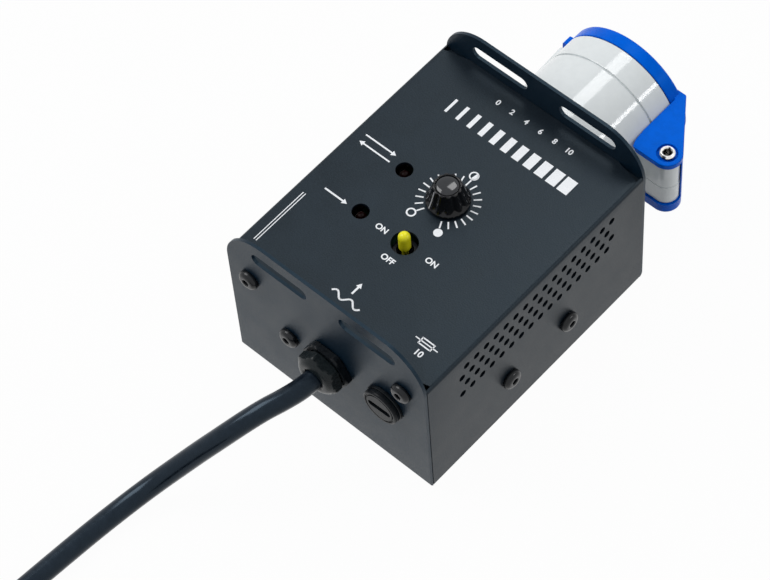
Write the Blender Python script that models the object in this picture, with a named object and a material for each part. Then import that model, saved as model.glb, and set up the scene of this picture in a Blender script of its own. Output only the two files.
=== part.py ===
"""Portable stage lighting dimmer in a folded steel box, with a knob, a three-way switch and a CEE socket.

Metres, +Z up. +X is right and +Y is away, seen from the end where the supply cable comes in.
The origin is the middle of the box's underside.
"""
from math import acos, cos, hypot, pi, radians, sin, sqrt

import bmesh
import bpy
import numpy as np
from mathutils import Vector

# Clearances that all pieces share
GAP = 0.0003            # between faces that touch on the real object
FIT = 0.0003            # on the radius, between a shank, shaft or tube and its hole
OVERCUT = 0.003         # how far a cutter runs past the face that it opens

# Folded box
BOX_WIDTH = 0.106       # across the end plates
BOX_LENGTH = 0.135      # over the end plates' outer faces
PANEL_HEIGHT = 0.074    # the cover's top face
EAR_RISE = 0.018        # the end plates above the cover
EAR_CORNER = 0.021
SHEET = 0.0015
CHASSIS_BEND = 0.003    # outside radius of the folds
COVER_BEND = 0.0018
COVER_PROUD = 0.0002    # side panels stand this far outside the end plates' edges
COVER_LIFT = 0.0013     # side panels end this far above the underside
SLOT_LENGTH = 0.0297
SLOT_WIDTH = 0.0067
SLOT_IN = 0.0296        # from the ear's side edge to the middle of each slot
SLOT_DROP = 0.0097      # from the ear's edge to the slot's centre line
TAB_WIDTH = 0.015
TAB_HEIGHT = 0.016
NOTCH_WIDTH = 0.0030    # bend relief at the corners of the top panel
NOTCH_DEPTH = 0.0022

# Ventilation holes in both sides
VENT_DIAMETER = 0.0034
VENT_PITCH = 0.00593
VENT_ROWS = 4
VENT_COLUMNS = 16
VENT_DROP = 0.0081      # from the top panel to the first row

# M5 button head screws
SCREW_RADIUS = 0.0025
SCREW_HEAD_RADIUS = 0.00475
SCREW_HEAD_HEIGHT = 0.00275
SCREW_KEY = 0.003       # across the flats of the hexagon socket
SCREW_KEY_DEPTH = 0.0016
SCREW_LENGTH = 0.008
COVER_SCREW_IN = 0.012  # from the end plate's side edge
COVER_SCREW_Z = 0.0638
EARTH_X = -0.0212
EARTH_Z = 0.0401
EARTH_NUT_FLATS = 0.008
EARTH_NUT_HEIGHT = 0.004
TERMINAL_THICKNESS = 0.001
TERMINAL_TAIL = 0.0065  # from the stud's axis to the start of the crimp barrel
TERMINAL_BARREL = 0.002
TERMINAL_BARREL_LENGTH = 0.007

# Controls on the top panel
DIAL_X = 0.0
DIAL_Y = 0.007
SWITCH_X = 0.0
SWITCH_Y = -0.0195
SWITCH_HOLE = 0.0115
LED_X = -0.0238
LED_HOLE = 0.0075
LED_DIAMETER = 0.005
LED_FLANGE = 0.0029     # radius
LED_DROP = 0.002        # from the panel's face down to the lens
LED_HEIGHT = 0.0086     # from the flange's underside to the tip
LED_FLANGE_HEIGHT = 0.001

# Knob and potentiometer
KNOB_STAND = 0.0007     # clear of the panel
KNOB_HEIGHT = 0.0105
KNOB_BASE_RADIUS = 0.0093
KNOB_TOP_RADIUS = 0.0059
KNOB_FLUTES = 12
KNOB_FLUTE_DEPTH = 0.0007
KNOB_RECESS_DEPTH = 0.0036
KNOB_RECESS_RADIUS = 0.0074
CAP_RADIUS = 0.0048
CAP_THICKNESS = 0.0015
CAP_PROUD = 0.0005
SHAFT_RADIUS = 0.003
SHAFT_IN_POT = 0.006    # how far the shaft reaches into the potentiometer's case
BUSHING_RADIUS = 0.004
BUSHING_RISE = 0.0032   # above the panel
POT_CASE_RADIUS = 0.0085
POT_CASE_HEIGHT = 0.0085
POT_COLLAR_RADIUS = 0.006
POT_COLLAR_HEIGHT = 0.0045
POT_NUT_FLATS = 0.012
POT_NUT_HEIGHT = 0.0024

# Toggle switch
SWITCH_CASE = 0.013     # square case
SWITCH_CASE_HEIGHT = 0.007
SWITCH_NECK_RADIUS = 0.0052
SWITCH_NECK_HEIGHT = 0.0032
SWITCH_MOUTH_RADIUS = 0.0037
SWITCH_PIVOT_DEPTH = 0.002   # below the case's top face
LEVER_RADIUS = 0.0028
LEVER_RISE = 0.0067     # above the panel
LEVER_STEM_RADIUS = 0.0015
LEVER_STEM_BELOW = 0.0024    # below the pivot
LEVER_NECK_GAP = 0.0012      # between the neck's rim and the lever's thick end

# Boards
BOARD = 0.0016
CONTROL_BOARD_MARGIN = 0.0045
POWER_BOARD_HEIGHT = 0.009   # underside
POWER_BOARD_MARGIN = 0.009   # from the box's left side to the board
POWER_BOARD_FRONT = 0.058
POWER_BOARD_REAR = 0.040
STANDOFF_FLATS = 0.0055
STANDOFF_STUD = 0.0014
STANDOFF_INSET = 0.005
STUD_RISE = 0.002            # above the board
CHOKE_X = -0.023
CHOKE_Y = 0.012
CHOKE_RING = 0.012
CHOKE_THICKNESS = 0.006      # radius of the wound ring's section
CAPACITOR = (0.026, 0.010, 0.018)
CAPACITOR_X = -0.026
CAPACITOR_Y = -0.026
TERMINAL_BLOCK = (0.024, 0.009, 0.010)
TERMINAL_BLOCK_X = -0.010
TERMINAL_BLOCK_Y = -0.044

# Heat sink on the right side, and the triac on it
HEAT_SCREW_Y = 0.018
HEAT_SCREW_Z = 0.0247
HEAT_BASE = 0.006
HEAT_BOTTOM = 0.0057
HEAT_TOP = 0.044
HEAT_HALF_LENGTH = 0.026
HEAT_SHELF = 0.0085          # width of the shelf under the power board
HEAT_FIN_LENGTH = 0.010
HEAT_FIN = 0.0016
HEAT_FIN_PITCH = 0.004
HEAT_FINS = 4
TRIAC = (0.0045, 0.0104, 0.0155)
TRIAC_LEG = (0.0006, 0.006)
TRIAC_HOLE_DROP = 0.0025
TRIAC_LIFT = 0.0025          # above the power board
SMALL_SCREW_RADIUS = 0.0015
SMALL_SCREW_HEAD = 0.00275
SMALL_SCREW_HEIGHT = 0.002
SMALL_SCREW_REACH = 0.0075

# Fuse holder on the front plate
FUSE_X = 0.0311
FUSE_Z = 0.0452
FUSE_BODY_RADIUS = 0.007
FUSE_BORE_RADIUS = 0.0056
FUSE_FLANGE_RADIUS = 0.0092
FUSE_FLANGE = 0.0012
FUSE_DEPTH = 0.038           # behind the plate's outer face
FUSE_FLOOR = 0.002
FUSE_NUT_FLATS = 0.018
FUSE_NUT_HEIGHT = 0.004
FUSE_CAP_RADIUS = 0.0088
FUSE_CAP_HEIGHT = 0.0023
FUSE_STEM_LENGTH = 0.018
FUSE_STEM_FLOOR = 0.003
FUSE_SLOT_LENGTH = 0.0108
FUSE_SLOT_WIDTH = 0.0018
FUSE_SLOT_DEPTH = 0.0015
FUSE_SLOT_TILT = 3.0         # degrees
FUSE_LINK_RADIUS = 0.00315
FUSE_LINK_LENGTH = 0.032

# Cable gland on the front plate
GLAND_X = 0.001
GLAND_Z = 0.0436
GLAND_THREAD_RADIUS = 0.008
GLAND_BORE_RADIUS = 0.0062
GLAND_BODY_FLATS = 0.0218    # across the body's hexagon, and the locknut's
GLAND_BODY_HEX = 0.0034
GLAND_NUT_FLATS = 0.019
GLAND_NUT_HEX = 0.0041
GLAND_NUT_TURN = -18.0       # degrees
GLAND_DOME = 0.0025
GLAND_MOUTH_LIP = 0.0012     # wall of the dome at its mouth
GLAND_INSIDE = 0.0095        # behind the plate's outer face
GLAND_LOCKNUT = 0.0045

# Supply cable, its coil and the plug
CABLE_RADIUS = 0.0046
FLOOR_GAP = 0.0001
WIRE_RADIUS = 0.0014
WIRE_CIRCLE = 0.0021         # radius on which the three cores lie in the cable
COIL_RADIUS = 0.060          # centre line of the outer turn
COIL_X = 0.019
COIL_Y = -0.262
COIL_TURNS = 4
COIL_SPACING = 0.0007        # between neighbouring turns
COIL_POINTS = 24             # in each turn
COIL_TAIL = 0.020            # straight end towards the plug
PLUG_RADIUS = 0.019
PLUG_LENGTH = 0.032
PLUG_BOOT_LENGTH = 0.030
PLUG_BOOT_RADIUS = 0.0065
PLUG_SHOULDER = 0.006
PLUG_EDGE = 0.0015
PIN_RADIUS = 0.0024
PIN_SPACING = 0.019
PIN_LENGTH = 0.019
PIN_IN_PLUG = 0.012

# Socket on the rear plate
SOCKET_X = 0.0
BARREL_RADIUS = 0.0308
FLANGE_THICKNESS = 0.005
FLANGE_CORNER = 0.005
FLANGE_MARGIN = 0.006        # from a screw's axis to the flange's edge
FLANGE_LIFT = 0.0017         # from the underside of the box to the flange
BARREL_WALL = 0.0038
BARREL_REACH = 0.0492        # from the plate's outer face to the mouth
GROOVE_FROM_MOUTH = 0.0131
GROOVE_WIDTH = 0.0008
GROOVE_DEPTH = 0.0006
SHELL_FLOOR = 0.0072
CARRIER_RADIUS = 0.0215
CARRIER_COLLAR = 0.004
CARRIER_LOOSE = 0.0005       # between the carrier's collar and the barrel's bore
CARRIER_FROM_MOUTH = 0.005
CARRIER_INSIDE = 0.011       # behind the rear plate's outer face
KEY_WIDTH = 0.010
KEY_RISE = 0.0027            # the outer rib
KEYWAY_WIDTH = 0.006
KEYWAY_DEPTH = 0.0022
CONTACT_CIRCLE = 0.0095
CONTACT_RADIUS = 0.0034
CONTACT_BORE = 0.0025
CONTACT_SETBACK = 0.002
CONTACT_FLOOR = 0.016        # length of the solid rear end
SOCKET_SCREW_RADIUS = 0.002
SOCKET_SCREW_HEAD = 0.0035
SOCKET_SCREW_HEIGHT = 0.0024
SOCKET_SCREW_LENGTH = 0.0095
SOCKET_SCREW_OUT = 0.00105   # between the barrel and a screw's head

# Lid of the socket
LID_THICKNESS = 0.0041
LID_RIM = 0.0025             # depth of the rim in front of the plate
LID_RIM_WALL = 0.001
SEAL_WIDTH = 0.0035
HINGE_OUT = 0.0110           # from the barrel's surface to the pin's axis
HINGE_FROM_MOUTH = 0.0206
HINGE_BLOCK_RADIUS = 0.0058
HINGE_BLOCK_HEIGHT = 0.0254
ARM_THICKNESS = 0.003
LOWER_ARM_THICKNESS = 0.005
ARM_RADIUS = 0.0067
ARM_CORNER_IN = 0.0016       # inside the barrel's surface
ARM_CORNER_RISE = 0.0006     # beyond the lid's outer face
ARM_ROOT = 0.0085            # how far the arms reach in over the lid's plate
TAB_REACH = 0.0045
TAB_DEPTH = 0.016
TAB_THICKNESS = 0.0022
PIN_SHANK = 0.0025
RIVET_HEAD = 0.0035
RIVET_HEAD_HEIGHT = 0.0008
RIVET_BORE = 0.0019
SPRING_WIRE = 0.0005         # radius
SPRING_RADIUS = 0.0037
SPRING_PITCH = 0.0017
SPRING_TURNS = 5
SPRING_POINTS = 8
SPRING_POCKET = 0.0046

# Worked out from the sizes above
HALF_WIDTH = BOX_WIDTH / 2
SLOT_X = HALF_WIDTH - SLOT_IN
COVER_SCREW_X = HALF_WIDTH - COVER_SCREW_IN
POWER_BOARD_LEFT = HALF_WIDTH - POWER_BOARD_MARGIN
FRONT = -BOX_LENGTH / 2
REAR = BOX_LENGTH / 2
EAR_TOP = PANEL_HEIGHT + EAR_RISE
PANEL_UNDER = PANEL_HEIGHT - SHEET
COVER_HALF_WIDTH = HALF_WIDTH + COVER_PROUD
COVER_HALF_LENGTH = REAR - SHEET - GAP
SIDE_INNER = COVER_HALF_WIDTH - SHEET
BOARD_TOP = POWER_BOARD_HEIGHT + BOARD
CONTROL_TOP = PANEL_UNDER - GAP - POT_COLLAR_HEIGHT - POT_CASE_HEIGHT - GAP
FLANGE_SCREW = (BARREL_RADIUS + SOCKET_SCREW_HEAD + SOCKET_SCREW_OUT) / sqrt(2)
FLANGE_SIDE = 2 * (FLANGE_SCREW + FLANGE_MARGIN)
SOCKET_Z = FLANGE_SIDE / 2 + FLANGE_LIFT
CARRIER_COLLAR_RADIUS = BARREL_RADIUS - BARREL_WALL - CARRIER_LOOSE
HINGE_X = SOCKET_X + BARREL_RADIUS + HINGE_OUT
ARM_CORNER_X = SOCKET_X + BARREL_RADIUS - ARM_CORNER_IN
MOUTH = REAR + BARREL_REACH
HINGE_Y = MOUTH - HINGE_FROM_MOUTH
LEVER_PIVOT = CONTROL_TOP + GAP + SWITCH_CASE_HEIGHT - SWITCH_PIVOT_DEPTH
CABLE_FLOOR = CABLE_RADIUS + FLOOR_GAP
COIL_PITCH = 2 * CABLE_RADIUS + COIL_SPACING
PLUG_Z = PLUG_RADIUS + FLOOR_GAP


def material(name, colour, roughness, metallic=0.0):
    finish = bpy.data.materials.new(name)
    finish.use_nodes = True
    shader = finish.node_tree.nodes["Principled BSDF"]
    shader.inputs["Base Color"].default_value = (*colour, 1.0)
    shader.inputs["Roughness"].default_value = roughness
    shader.inputs["Metallic"].default_value = metallic
    finish.diffuse_color = (*colour, 1.0)
    return finish


for leftover in list(bpy.data.objects):
    bpy.data.objects.remove(leftover)

BLACK_PAINT = material("black_textured_paint", (0.045, 0.052, 0.060), 0.55)
BLACK_STEEL = material("blackened_steel", (0.03, 0.03, 0.035), 0.4, 0.8)
BRIGHT_STEEL = material("bright_steel", (0.6, 0.6, 0.6), 0.3, 1.0)
BRASS = material("brass", (0.7, 0.5, 0.22), 0.35, 1.0)
ALUMINIUM = material("aluminium", (0.7, 0.7, 0.72), 0.4, 1.0)
BLACK_NYLON = material("black_nylon", (0.02, 0.02, 0.022), 0.45)
BLACK_RUBBER = material("black_rubber", (0.02, 0.021, 0.025), 0.6)
BLACK_KNOB = material("glossy_black_plastic", (0.01, 0.01, 0.012), 0.25)
GREY_CAP = material("grey_cap_plastic", (0.13, 0.13, 0.14), 0.35)
GREY_PLASTIC = material("light_grey_plastic", (0.62, 0.65, 0.65), 0.3)
BLUE_PLASTIC = material("blue_plastic", (0.0, 0.11, 0.68), 0.35)
DARK_PLASTIC = material("dark_contact_plastic", (0.05, 0.06, 0.08), 0.5)
YELLOW_PLASTIC = material("yellow_plastic", (0.80, 0.72, 0.02), 0.35)
RED_LENS = material("dark_red_lens", (0.15, 0.01, 0.01), 0.15)
GREEN_BOARD = material("green_circuit_board", (0.02, 0.13, 0.05), 0.5)
COPPER = material("enamelled_copper", (0.55, 0.22, 0.08), 0.35, 0.8)
CAPACITOR_YELLOW = material("capacitor_yellow", (0.75, 0.55, 0.05), 0.4)
FUSE_CERAMIC = material("fuse_ceramic", (0.85, 0.85, 0.80), 0.4)
BROWN_WIRE = material("brown_wire", (0.15, 0.06, 0.02), 0.5)
BLUE_WIRE = material("blue_wire", (0.02, 0.10, 0.45), 0.5)
EARTH_WIRE = material("green_yellow_wire", (0.30, 0.50, 0.03), 0.5)


def at(axis, level, a, b):
    """A point from its level along an axis and its two other coordinates, in X, Y, Z order."""
    if axis == "X":
        return (level, a, b)
    if axis == "Y":
        return (a, level, b)
    return (a, b, level)


def arc(a, b, radius, start, end, steps):
    """Points on an arc about (a, b), angles in degrees, both ends included."""
    angles = [radians(start + (end - start) * i / steps) for i in range(steps + 1)]
    return [(a + radius * cos(t), b + radius * sin(t)) for t in angles]


def circle(a, b, radius, steps, turn=0.0):
    return arc(a, b, radius, turn, turn + 360.0, steps)[:-1]


def rectangle(a, b, width, height):
    half_w = width / 2
    half_h = height / 2
    return [(a - half_w, b - half_h), (a + half_w, b - half_h), (a + half_w, b + half_h), (a - half_w, b + half_h)]


def rounded_rectangle(a, b, width, height, radius, steps=4):
    dx = width / 2 - radius
    dy = height / 2 - radius
    return (
        arc(a + dx, b + dy, radius, 0, 90, steps)
        + arc(a - dx, b + dy, radius, 90, 180, steps)
        + arc(a - dx, b - dy, radius, 180, 270, steps)
        + arc(a + dx, b - dy, radius, 270, 360, steps)
    )


def stadium(a, b, length, width, steps=6):
    """A slot with fully round ends, lying along the first coordinate."""
    reach = (length - width) / 2
    return arc(a + reach, b, width / 2, -90, 90, steps) + arc(a - reach, b, width / 2, 90, 270, steps)


def channel(half, base, end, sheet, bend, steps=4):
    """A U-shaped section: its web lies at base, its two legs run to end."""
    way = 1 if end > base else -1
    centre = base + way * bend
    outer = [(-half, end)]
    outer += [(-half + bend - a, centre - way * b) for a, b in arc(0, 0, bend, 0, 90, steps)]
    outer += [(half - bend + a, centre - way * b) for a, b in arc(0, 0, bend, 90, 0, steps)]
    outer += [(half, end)]
    small = bend - sheet
    inner = [(half - sheet, end)]
    inner += [(half - bend + a, centre - way * b) for a, b in arc(0, 0, small, 0, 90, steps)]
    inner += [(-half + bend - a, centre - way * b) for a, b in arc(0, 0, small, 90, 0, steps)]
    inner += [(-half + sheet, end)]
    return outer + inner


def hexagonal(flats):
    """The radius of a hexagon at each angle, for a turned shape with a multiple of 6 steps."""
    return lambda t: flats / 2 / cos((t % (pi / 3)) - pi / 6)


def fluted(radius, depth, count):
    """The radius of a fluted round, at each angle."""
    return lambda t: radius - depth * (0.5 + 0.5 * cos(count * t)) ** 2


def skin(bm, first, second):
    """Faces between two rings of points, either of which may be a single point."""
    steps = max(len(first), len(second))
    for i in range(steps):
        j = (i + 1) % steps
        corners = []
        for ring, order in ((first, (i, j)), (second, (j, i))):
            if len(ring) == 1:
                corners.append(ring[0])
            else:
                corners += [ring[k] for k in order]
        bm.faces.new(corners)


def add_prism(bm, outline, low, high, axis):
    """Extrudes a closed outline between two levels along an axis."""
    bottom = [bm.verts.new(at(axis, low, a, b)) for a, b in outline]
    top = [bm.verts.new(at(axis, high, a, b)) for a, b in outline]
    skin(bm, bottom, top)
    bm.faces.new(bottom)
    bm.faces.new(top)


def add_turned(bm, profile, axis, centre, steps=24, closed=False, turn=0.0):
    """Turns (radius, level) points about an axis. A radius may be a function of the angle."""
    angles = [2 * pi * i / steps for i in range(steps)]
    rings = []
    for radius, level in profile:
        if radius == 0:
            rings.append([bm.verts.new(at(axis, level, *centre))])
            continue
        ring = []
        for t in angles:
            r = radius(t) if callable(radius) else radius
            a = centre[0] + r * cos(t + turn)
            b = centre[1] + r * sin(t + turn)
            ring.append(bm.verts.new(at(axis, level, a, b)))
        rings.append(ring)
    for first, second in zip(rings, rings[1:]):
        skin(bm, first, second)
    if closed:
        skin(bm, rings[-1], rings[0])
        return
    for ring in (rings[0], rings[-1]):
        if len(ring) > 1:
            bm.faces.new(ring)


def place(name, bm, pivot=(0, 0, 0)):
    """A linked object from a mesh in world coordinates, with its origin at the pivot."""
    bmesh.ops.recalc_face_normals(bm, faces=bm.faces)
    bmesh.ops.translate(bm, verts=bm.verts, vec=-Vector(pivot))
    mesh = bpy.data.meshes.new(name)
    bm.to_mesh(mesh)
    bm.free()
    mesh.shade_smooth()
    mesh.set_sharp_from_angle(angle=radians(35))
    obj = bpy.data.objects.new(name, mesh)
    obj.location = pivot
    bpy.context.collection.objects.link(obj)
    return obj


def piece(name, finish, build, pivot=(0, 0, 0)):
    """A visible piece, whose mesh the build function adds."""
    bm = bmesh.new()
    build(bm)
    obj = place(name, bm, pivot)
    obj.data.materials.append(finish)
    return obj


def tool(obj, kind, name, build):
    """Adds or removes a shape with a Boolean modifier, whose second shape stays hidden."""
    bm = bmesh.new()
    build(bm)
    other = place(f"{obj.name}_{name}_tool", bm)
    other.hide_render = True
    other.display_type = "WIRE"
    modifier = obj.modifiers.new(name, "BOOLEAN")
    modifier.operation = kind
    modifier.object = other


def cut(obj, name, build):
    tool(obj, "DIFFERENCE", name, build)


def join(obj, name, build):
    tool(obj, "UNION", name, build)


def smooth_route(points, spacing):
    """Evenly spaced points on a smooth curve through a route's own points."""
    given = [Vector(p) for p in points]
    given = [given[0] * 2 - given[1], *given, given[-1] * 2 - given[-2]]
    dense = []
    for p0, p1, p2, p3 in zip(given, given[1:], given[2:], given[3:]):
        t0, t1 = 0.0, sqrt((p1 - p0).length)
        t2 = t1 + sqrt((p2 - p1).length)
        t3 = t2 + sqrt((p3 - p2).length)
        for i in range(24):
            t = t1 + (t2 - t1) * i / 24
            a1 = p0 * ((t1 - t) / (t1 - t0)) + p1 * ((t - t0) / (t1 - t0))
            a2 = p1 * ((t2 - t) / (t2 - t1)) + p2 * ((t - t1) / (t2 - t1))
            a3 = p2 * ((t3 - t) / (t3 - t2)) + p3 * ((t - t2) / (t3 - t2))
            b1 = a1 * ((t2 - t) / (t2 - t0)) + a2 * ((t - t0) / (t2 - t0))
            b2 = a2 * ((t3 - t) / (t3 - t1)) + a3 * ((t - t1) / (t3 - t1))
            dense.append(b1 * ((t2 - t) / (t2 - t1)) + b2 * ((t - t1) / (t2 - t1)))
    dense = np.array([*dense, given[-2]])
    along = np.concatenate([[0.0], np.cumsum(np.linalg.norm(np.diff(dense, axis=0), axis=1))])
    count = max(2, round(along[-1] / spacing))
    stops = np.linspace(0.0, along[-1], count + 1)
    return np.stack([np.interp(stops, along, dense[:, k]) for k in range(3)], axis=1)


def tube(name, finish, points, radius, resolution):
    """A round tube along the points, with closed ends."""
    curve = bpy.data.curves.new(name, "CURVE")
    curve.dimensions = "3D"
    curve.bevel_depth = radius
    curve.bevel_resolution = resolution
    curve.use_fill_caps = True
    spline = curve.splines.new("POLY")
    spline.points.add(len(points) - 1)
    for slot, point in zip(spline.points, points):
        slot.co = (*point, 1.0)
    obj = bpy.data.objects.new(name, curve)
    obj.data.materials.append(finish)
    bpy.context.collection.objects.link(obj)
    length = float(np.sum(np.linalg.norm(np.diff(np.array(points), axis=0), axis=1)))
    print(f"{name}: {length:.4f} m along its centre line")
    return obj


def screw(name, finish, axis, way, seat, centre, radius, head_radius, head_height, length, key, key_depth):
    """A domed screw whose head points along the axis in the way's direction, with a hexagon socket."""
    rim = head_height * 0.3
    dome = []
    for i in range(4):
        angle = pi / 2 * i / 3
        dome.append((head_radius * (0.55 + 0.45 * cos(angle)), rim + (head_height - rim) * sin(angle)))
    profile = [(radius, -length), (radius, 0), (head_radius, 0), *dome]
    profile += [(hexagonal(key), head_height), (hexagonal(key), head_height - key_depth)]
    levels = [(r, seat + way * rise) for r, rise in profile]
    return piece(name, finish, lambda bm: add_turned(bm, levels, axis, centre, 12))


def box_screw(name, axis, way, seat, centre):
    screw(name, BLACK_STEEL, axis, way, seat, centre, SCREW_RADIUS, SCREW_HEAD_RADIUS, SCREW_HEAD_HEIGHT,
          SCREW_LENGTH, SCREW_KEY, SCREW_KEY_DEPTH)


def nut(name, finish, axis, low, high, centre, flats, bore, turn=0.0):
    profile = [(hexagonal(flats), low), (hexagonal(flats), high), (bore, high), (bore, low)]
    return piece(name, finish, lambda bm: add_turned(bm, profile, axis, centre, 18, closed=True, turn=turn))


def make_chassis():
    section = channel(REAR, 0.0, EAR_TOP, SHEET, CHASSIS_BEND)
    chassis = piece("chassis", BLACK_PAINT, lambda bm: add_prism(bm, section, -HALF_WIDTH, HALF_WIDTH, "X"))

    def silhouette(bm):
        corner_x = HALF_WIDTH - EAR_CORNER
        corner_z = EAR_TOP - EAR_CORNER
        outline = [(-HALF_WIDTH - OVERCUT, -OVERCUT), (HALF_WIDTH + OVERCUT, -OVERCUT)]
        outline += [(HALF_WIDTH + OVERCUT, corner_z)]
        outline += arc(corner_x, corner_z, EAR_CORNER, 0, 90, 8)
        outline += arc(-corner_x, corner_z, EAR_CORNER, 90, 180, 8)
        outline += [(-HALF_WIDTH - OVERCUT, corner_z)]
        add_prism(bm, outline, FRONT - OVERCUT, REAR + OVERCUT, "Y")

    def beside_the_floor(bm):
        for side in (-1, 1):
            edges = sorted((side * (SIDE_INNER - GAP), side * (HALF_WIDTH + OVERCUT)))
            outline = [(-COVER_HALF_LENGTH - GAP, -OVERCUT), (COVER_HALF_LENGTH + GAP, -OVERCUT)]
            outline += [(COVER_HALF_LENGTH + GAP, CHASSIS_BEND), (-COVER_HALF_LENGTH - GAP, CHASSIS_BEND)]
            add_prism(bm, outline, edges[0], edges[1], "X")

    def holes_in_both_plates(bm):
        levels = (FRONT - OVERCUT, REAR + OVERCUT)
        for side in (-1, 1):
            add_prism(bm, stadium(side * SLOT_X, EAR_TOP - SLOT_DROP, SLOT_LENGTH, SLOT_WIDTH), *levels, "Y")
            add_prism(bm, circle(side * COVER_SCREW_X, COVER_SCREW_Z, SCREW_RADIUS + FIT, 12), *levels, "Y")

    def holes_in_the_front_plate(bm):
        levels = (FRONT - OVERCUT, FRONT + SHEET + OVERCUT)
        add_prism(bm, circle(GLAND_X, GLAND_Z, GLAND_THREAD_RADIUS + FIT, 24), *levels, "Y")
        add_prism(bm, circle(FUSE_X, FUSE_Z, FUSE_BODY_RADIUS + FIT, 24), *levels, "Y")
        add_prism(bm, circle(EARTH_X, EARTH_Z, SCREW_RADIUS + FIT, 12), *levels, "Y")

    def holes_in_the_rear_plate(bm):
        levels = (REAR - SHEET - OVERCUT, REAR + OVERCUT)
        add_prism(bm, circle(SOCKET_X, SOCKET_Z, CARRIER_RADIUS + 2 * FIT, 32), *levels, "Y")
        for x, z in flange_screw_places():
            add_prism(bm, circle(x, z, SOCKET_SCREW_RADIUS + FIT, 12), *levels, "Y")

    def holes_in_the_floor(bm):
        for x, y in standoff_places():
            add_prism(bm, circle(x, y, STANDOFF_STUD + FIT, 12), -OVERCUT, SHEET + OVERCUT, "Z")

    tool(chassis, "INTERSECT", "silhouette", silhouette)
    cut(chassis, "floor_sides", beside_the_floor)
    cut(chassis, "ear_slots", holes_in_both_plates)
    cut(chassis, "front_holes", holes_in_the_front_plate)
    cut(chassis, "rear_holes", holes_in_the_rear_plate)
    cut(chassis, "floor_holes", holes_in_the_floor)


def make_cover():
    section = channel(COVER_HALF_WIDTH, PANEL_HEIGHT, COVER_LIFT, SHEET, COVER_BEND)
    levels = (-COVER_HALF_LENGTH, COVER_HALF_LENGTH)
    cover = piece("cover", BLACK_PAINT, lambda bm: add_prism(bm, section, *levels, "Y"))

    def tabs(bm):
        inner = COVER_SCREW_X - TAB_WIDTH / 2
        outer = COVER_HALF_WIDTH - SHEET / 2
        for side in (-1, 1):
            outline = rectangle(side * (inner + outer) / 2, COVER_SCREW_Z, outer - inner, TAB_HEIGHT)
            for end in (-1, 1):
                edges = sorted((end * COVER_HALF_LENGTH, end * (COVER_HALF_LENGTH - SHEET)))
                add_prism(bm, outline, *edges, "Y")

    def screw_holes(bm):
        for side in (-1, 1):
            outline = circle(side * COVER_SCREW_X, COVER_SCREW_Z, SCREW_RADIUS + FIT, 12)
            add_prism(bm, outline, FRONT - OVERCUT, REAR + OVERCUT, "Y")

    def control_holes(bm):
        sizes = [(DIAL_X, DIAL_Y, BUSHING_RADIUS + FIT), (SWITCH_X, SWITCH_Y, SWITCH_HOLE / 2)]
        sizes += [(LED_X, y, LED_HOLE / 2) for y in (DIAL_Y, SWITCH_Y)]
        for x, y, radius in sizes:
            add_prism(bm, circle(x, y, radius, 24), PANEL_UNDER - OVERCUT, PANEL_HEIGHT + OVERCUT, "Z")

    def vents(bm):
        reach = COVER_HALF_WIDTH + OVERCUT
        for row in range(VENT_ROWS):
            z = PANEL_HEIGHT - VENT_DROP - row * VENT_PITCH
            stagger = VENT_PITCH / 4 if row % 2 == 0 else -VENT_PITCH / 4
            for column in range(VENT_COLUMNS):
                y = (column - (VENT_COLUMNS - 1) / 2) * VENT_PITCH + stagger
                add_prism(bm, circle(y, z, VENT_DIAMETER / 2, 6, turn=30), -reach, reach, "X")

    def heat_screw_holes(bm):
        for side in (-1, 1):
            outline = circle(side * HEAT_SCREW_Y, HEAT_SCREW_Z, SCREW_RADIUS + FIT, 12)
            add_prism(bm, outline, SIDE_INNER - OVERCUT, COVER_HALF_WIDTH + OVERCUT, "X")

    def corner_notches(bm):
        for side in (-1, 1):
            for end in (-1, 1):
                edge = end * (COVER_HALF_LENGTH + OVERCUT)
                tip = end * (COVER_HALF_LENGTH - NOTCH_DEPTH)
                outline = [(side * (COVER_HALF_WIDTH - NOTCH_WIDTH), edge)]
                outline += [(side * (COVER_HALF_WIDTH + OVERCUT), edge)]
                outline += [(side * (COVER_HALF_WIDTH - NOTCH_WIDTH / 3), tip)]
                add_prism(bm, outline, PANEL_HEIGHT - COVER_BEND, PANEL_HEIGHT + OVERCUT, "Z")

    join(cover, "tabs", tabs)
    cut(cover, "screw_holes", screw_holes)
    cut(cover, "control_holes", control_holes)
    cut(cover, "heat_screw_holes", heat_screw_holes)
    cut(cover, "corner_notches", corner_notches)
    cut(cover, "vents", vents)


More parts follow.
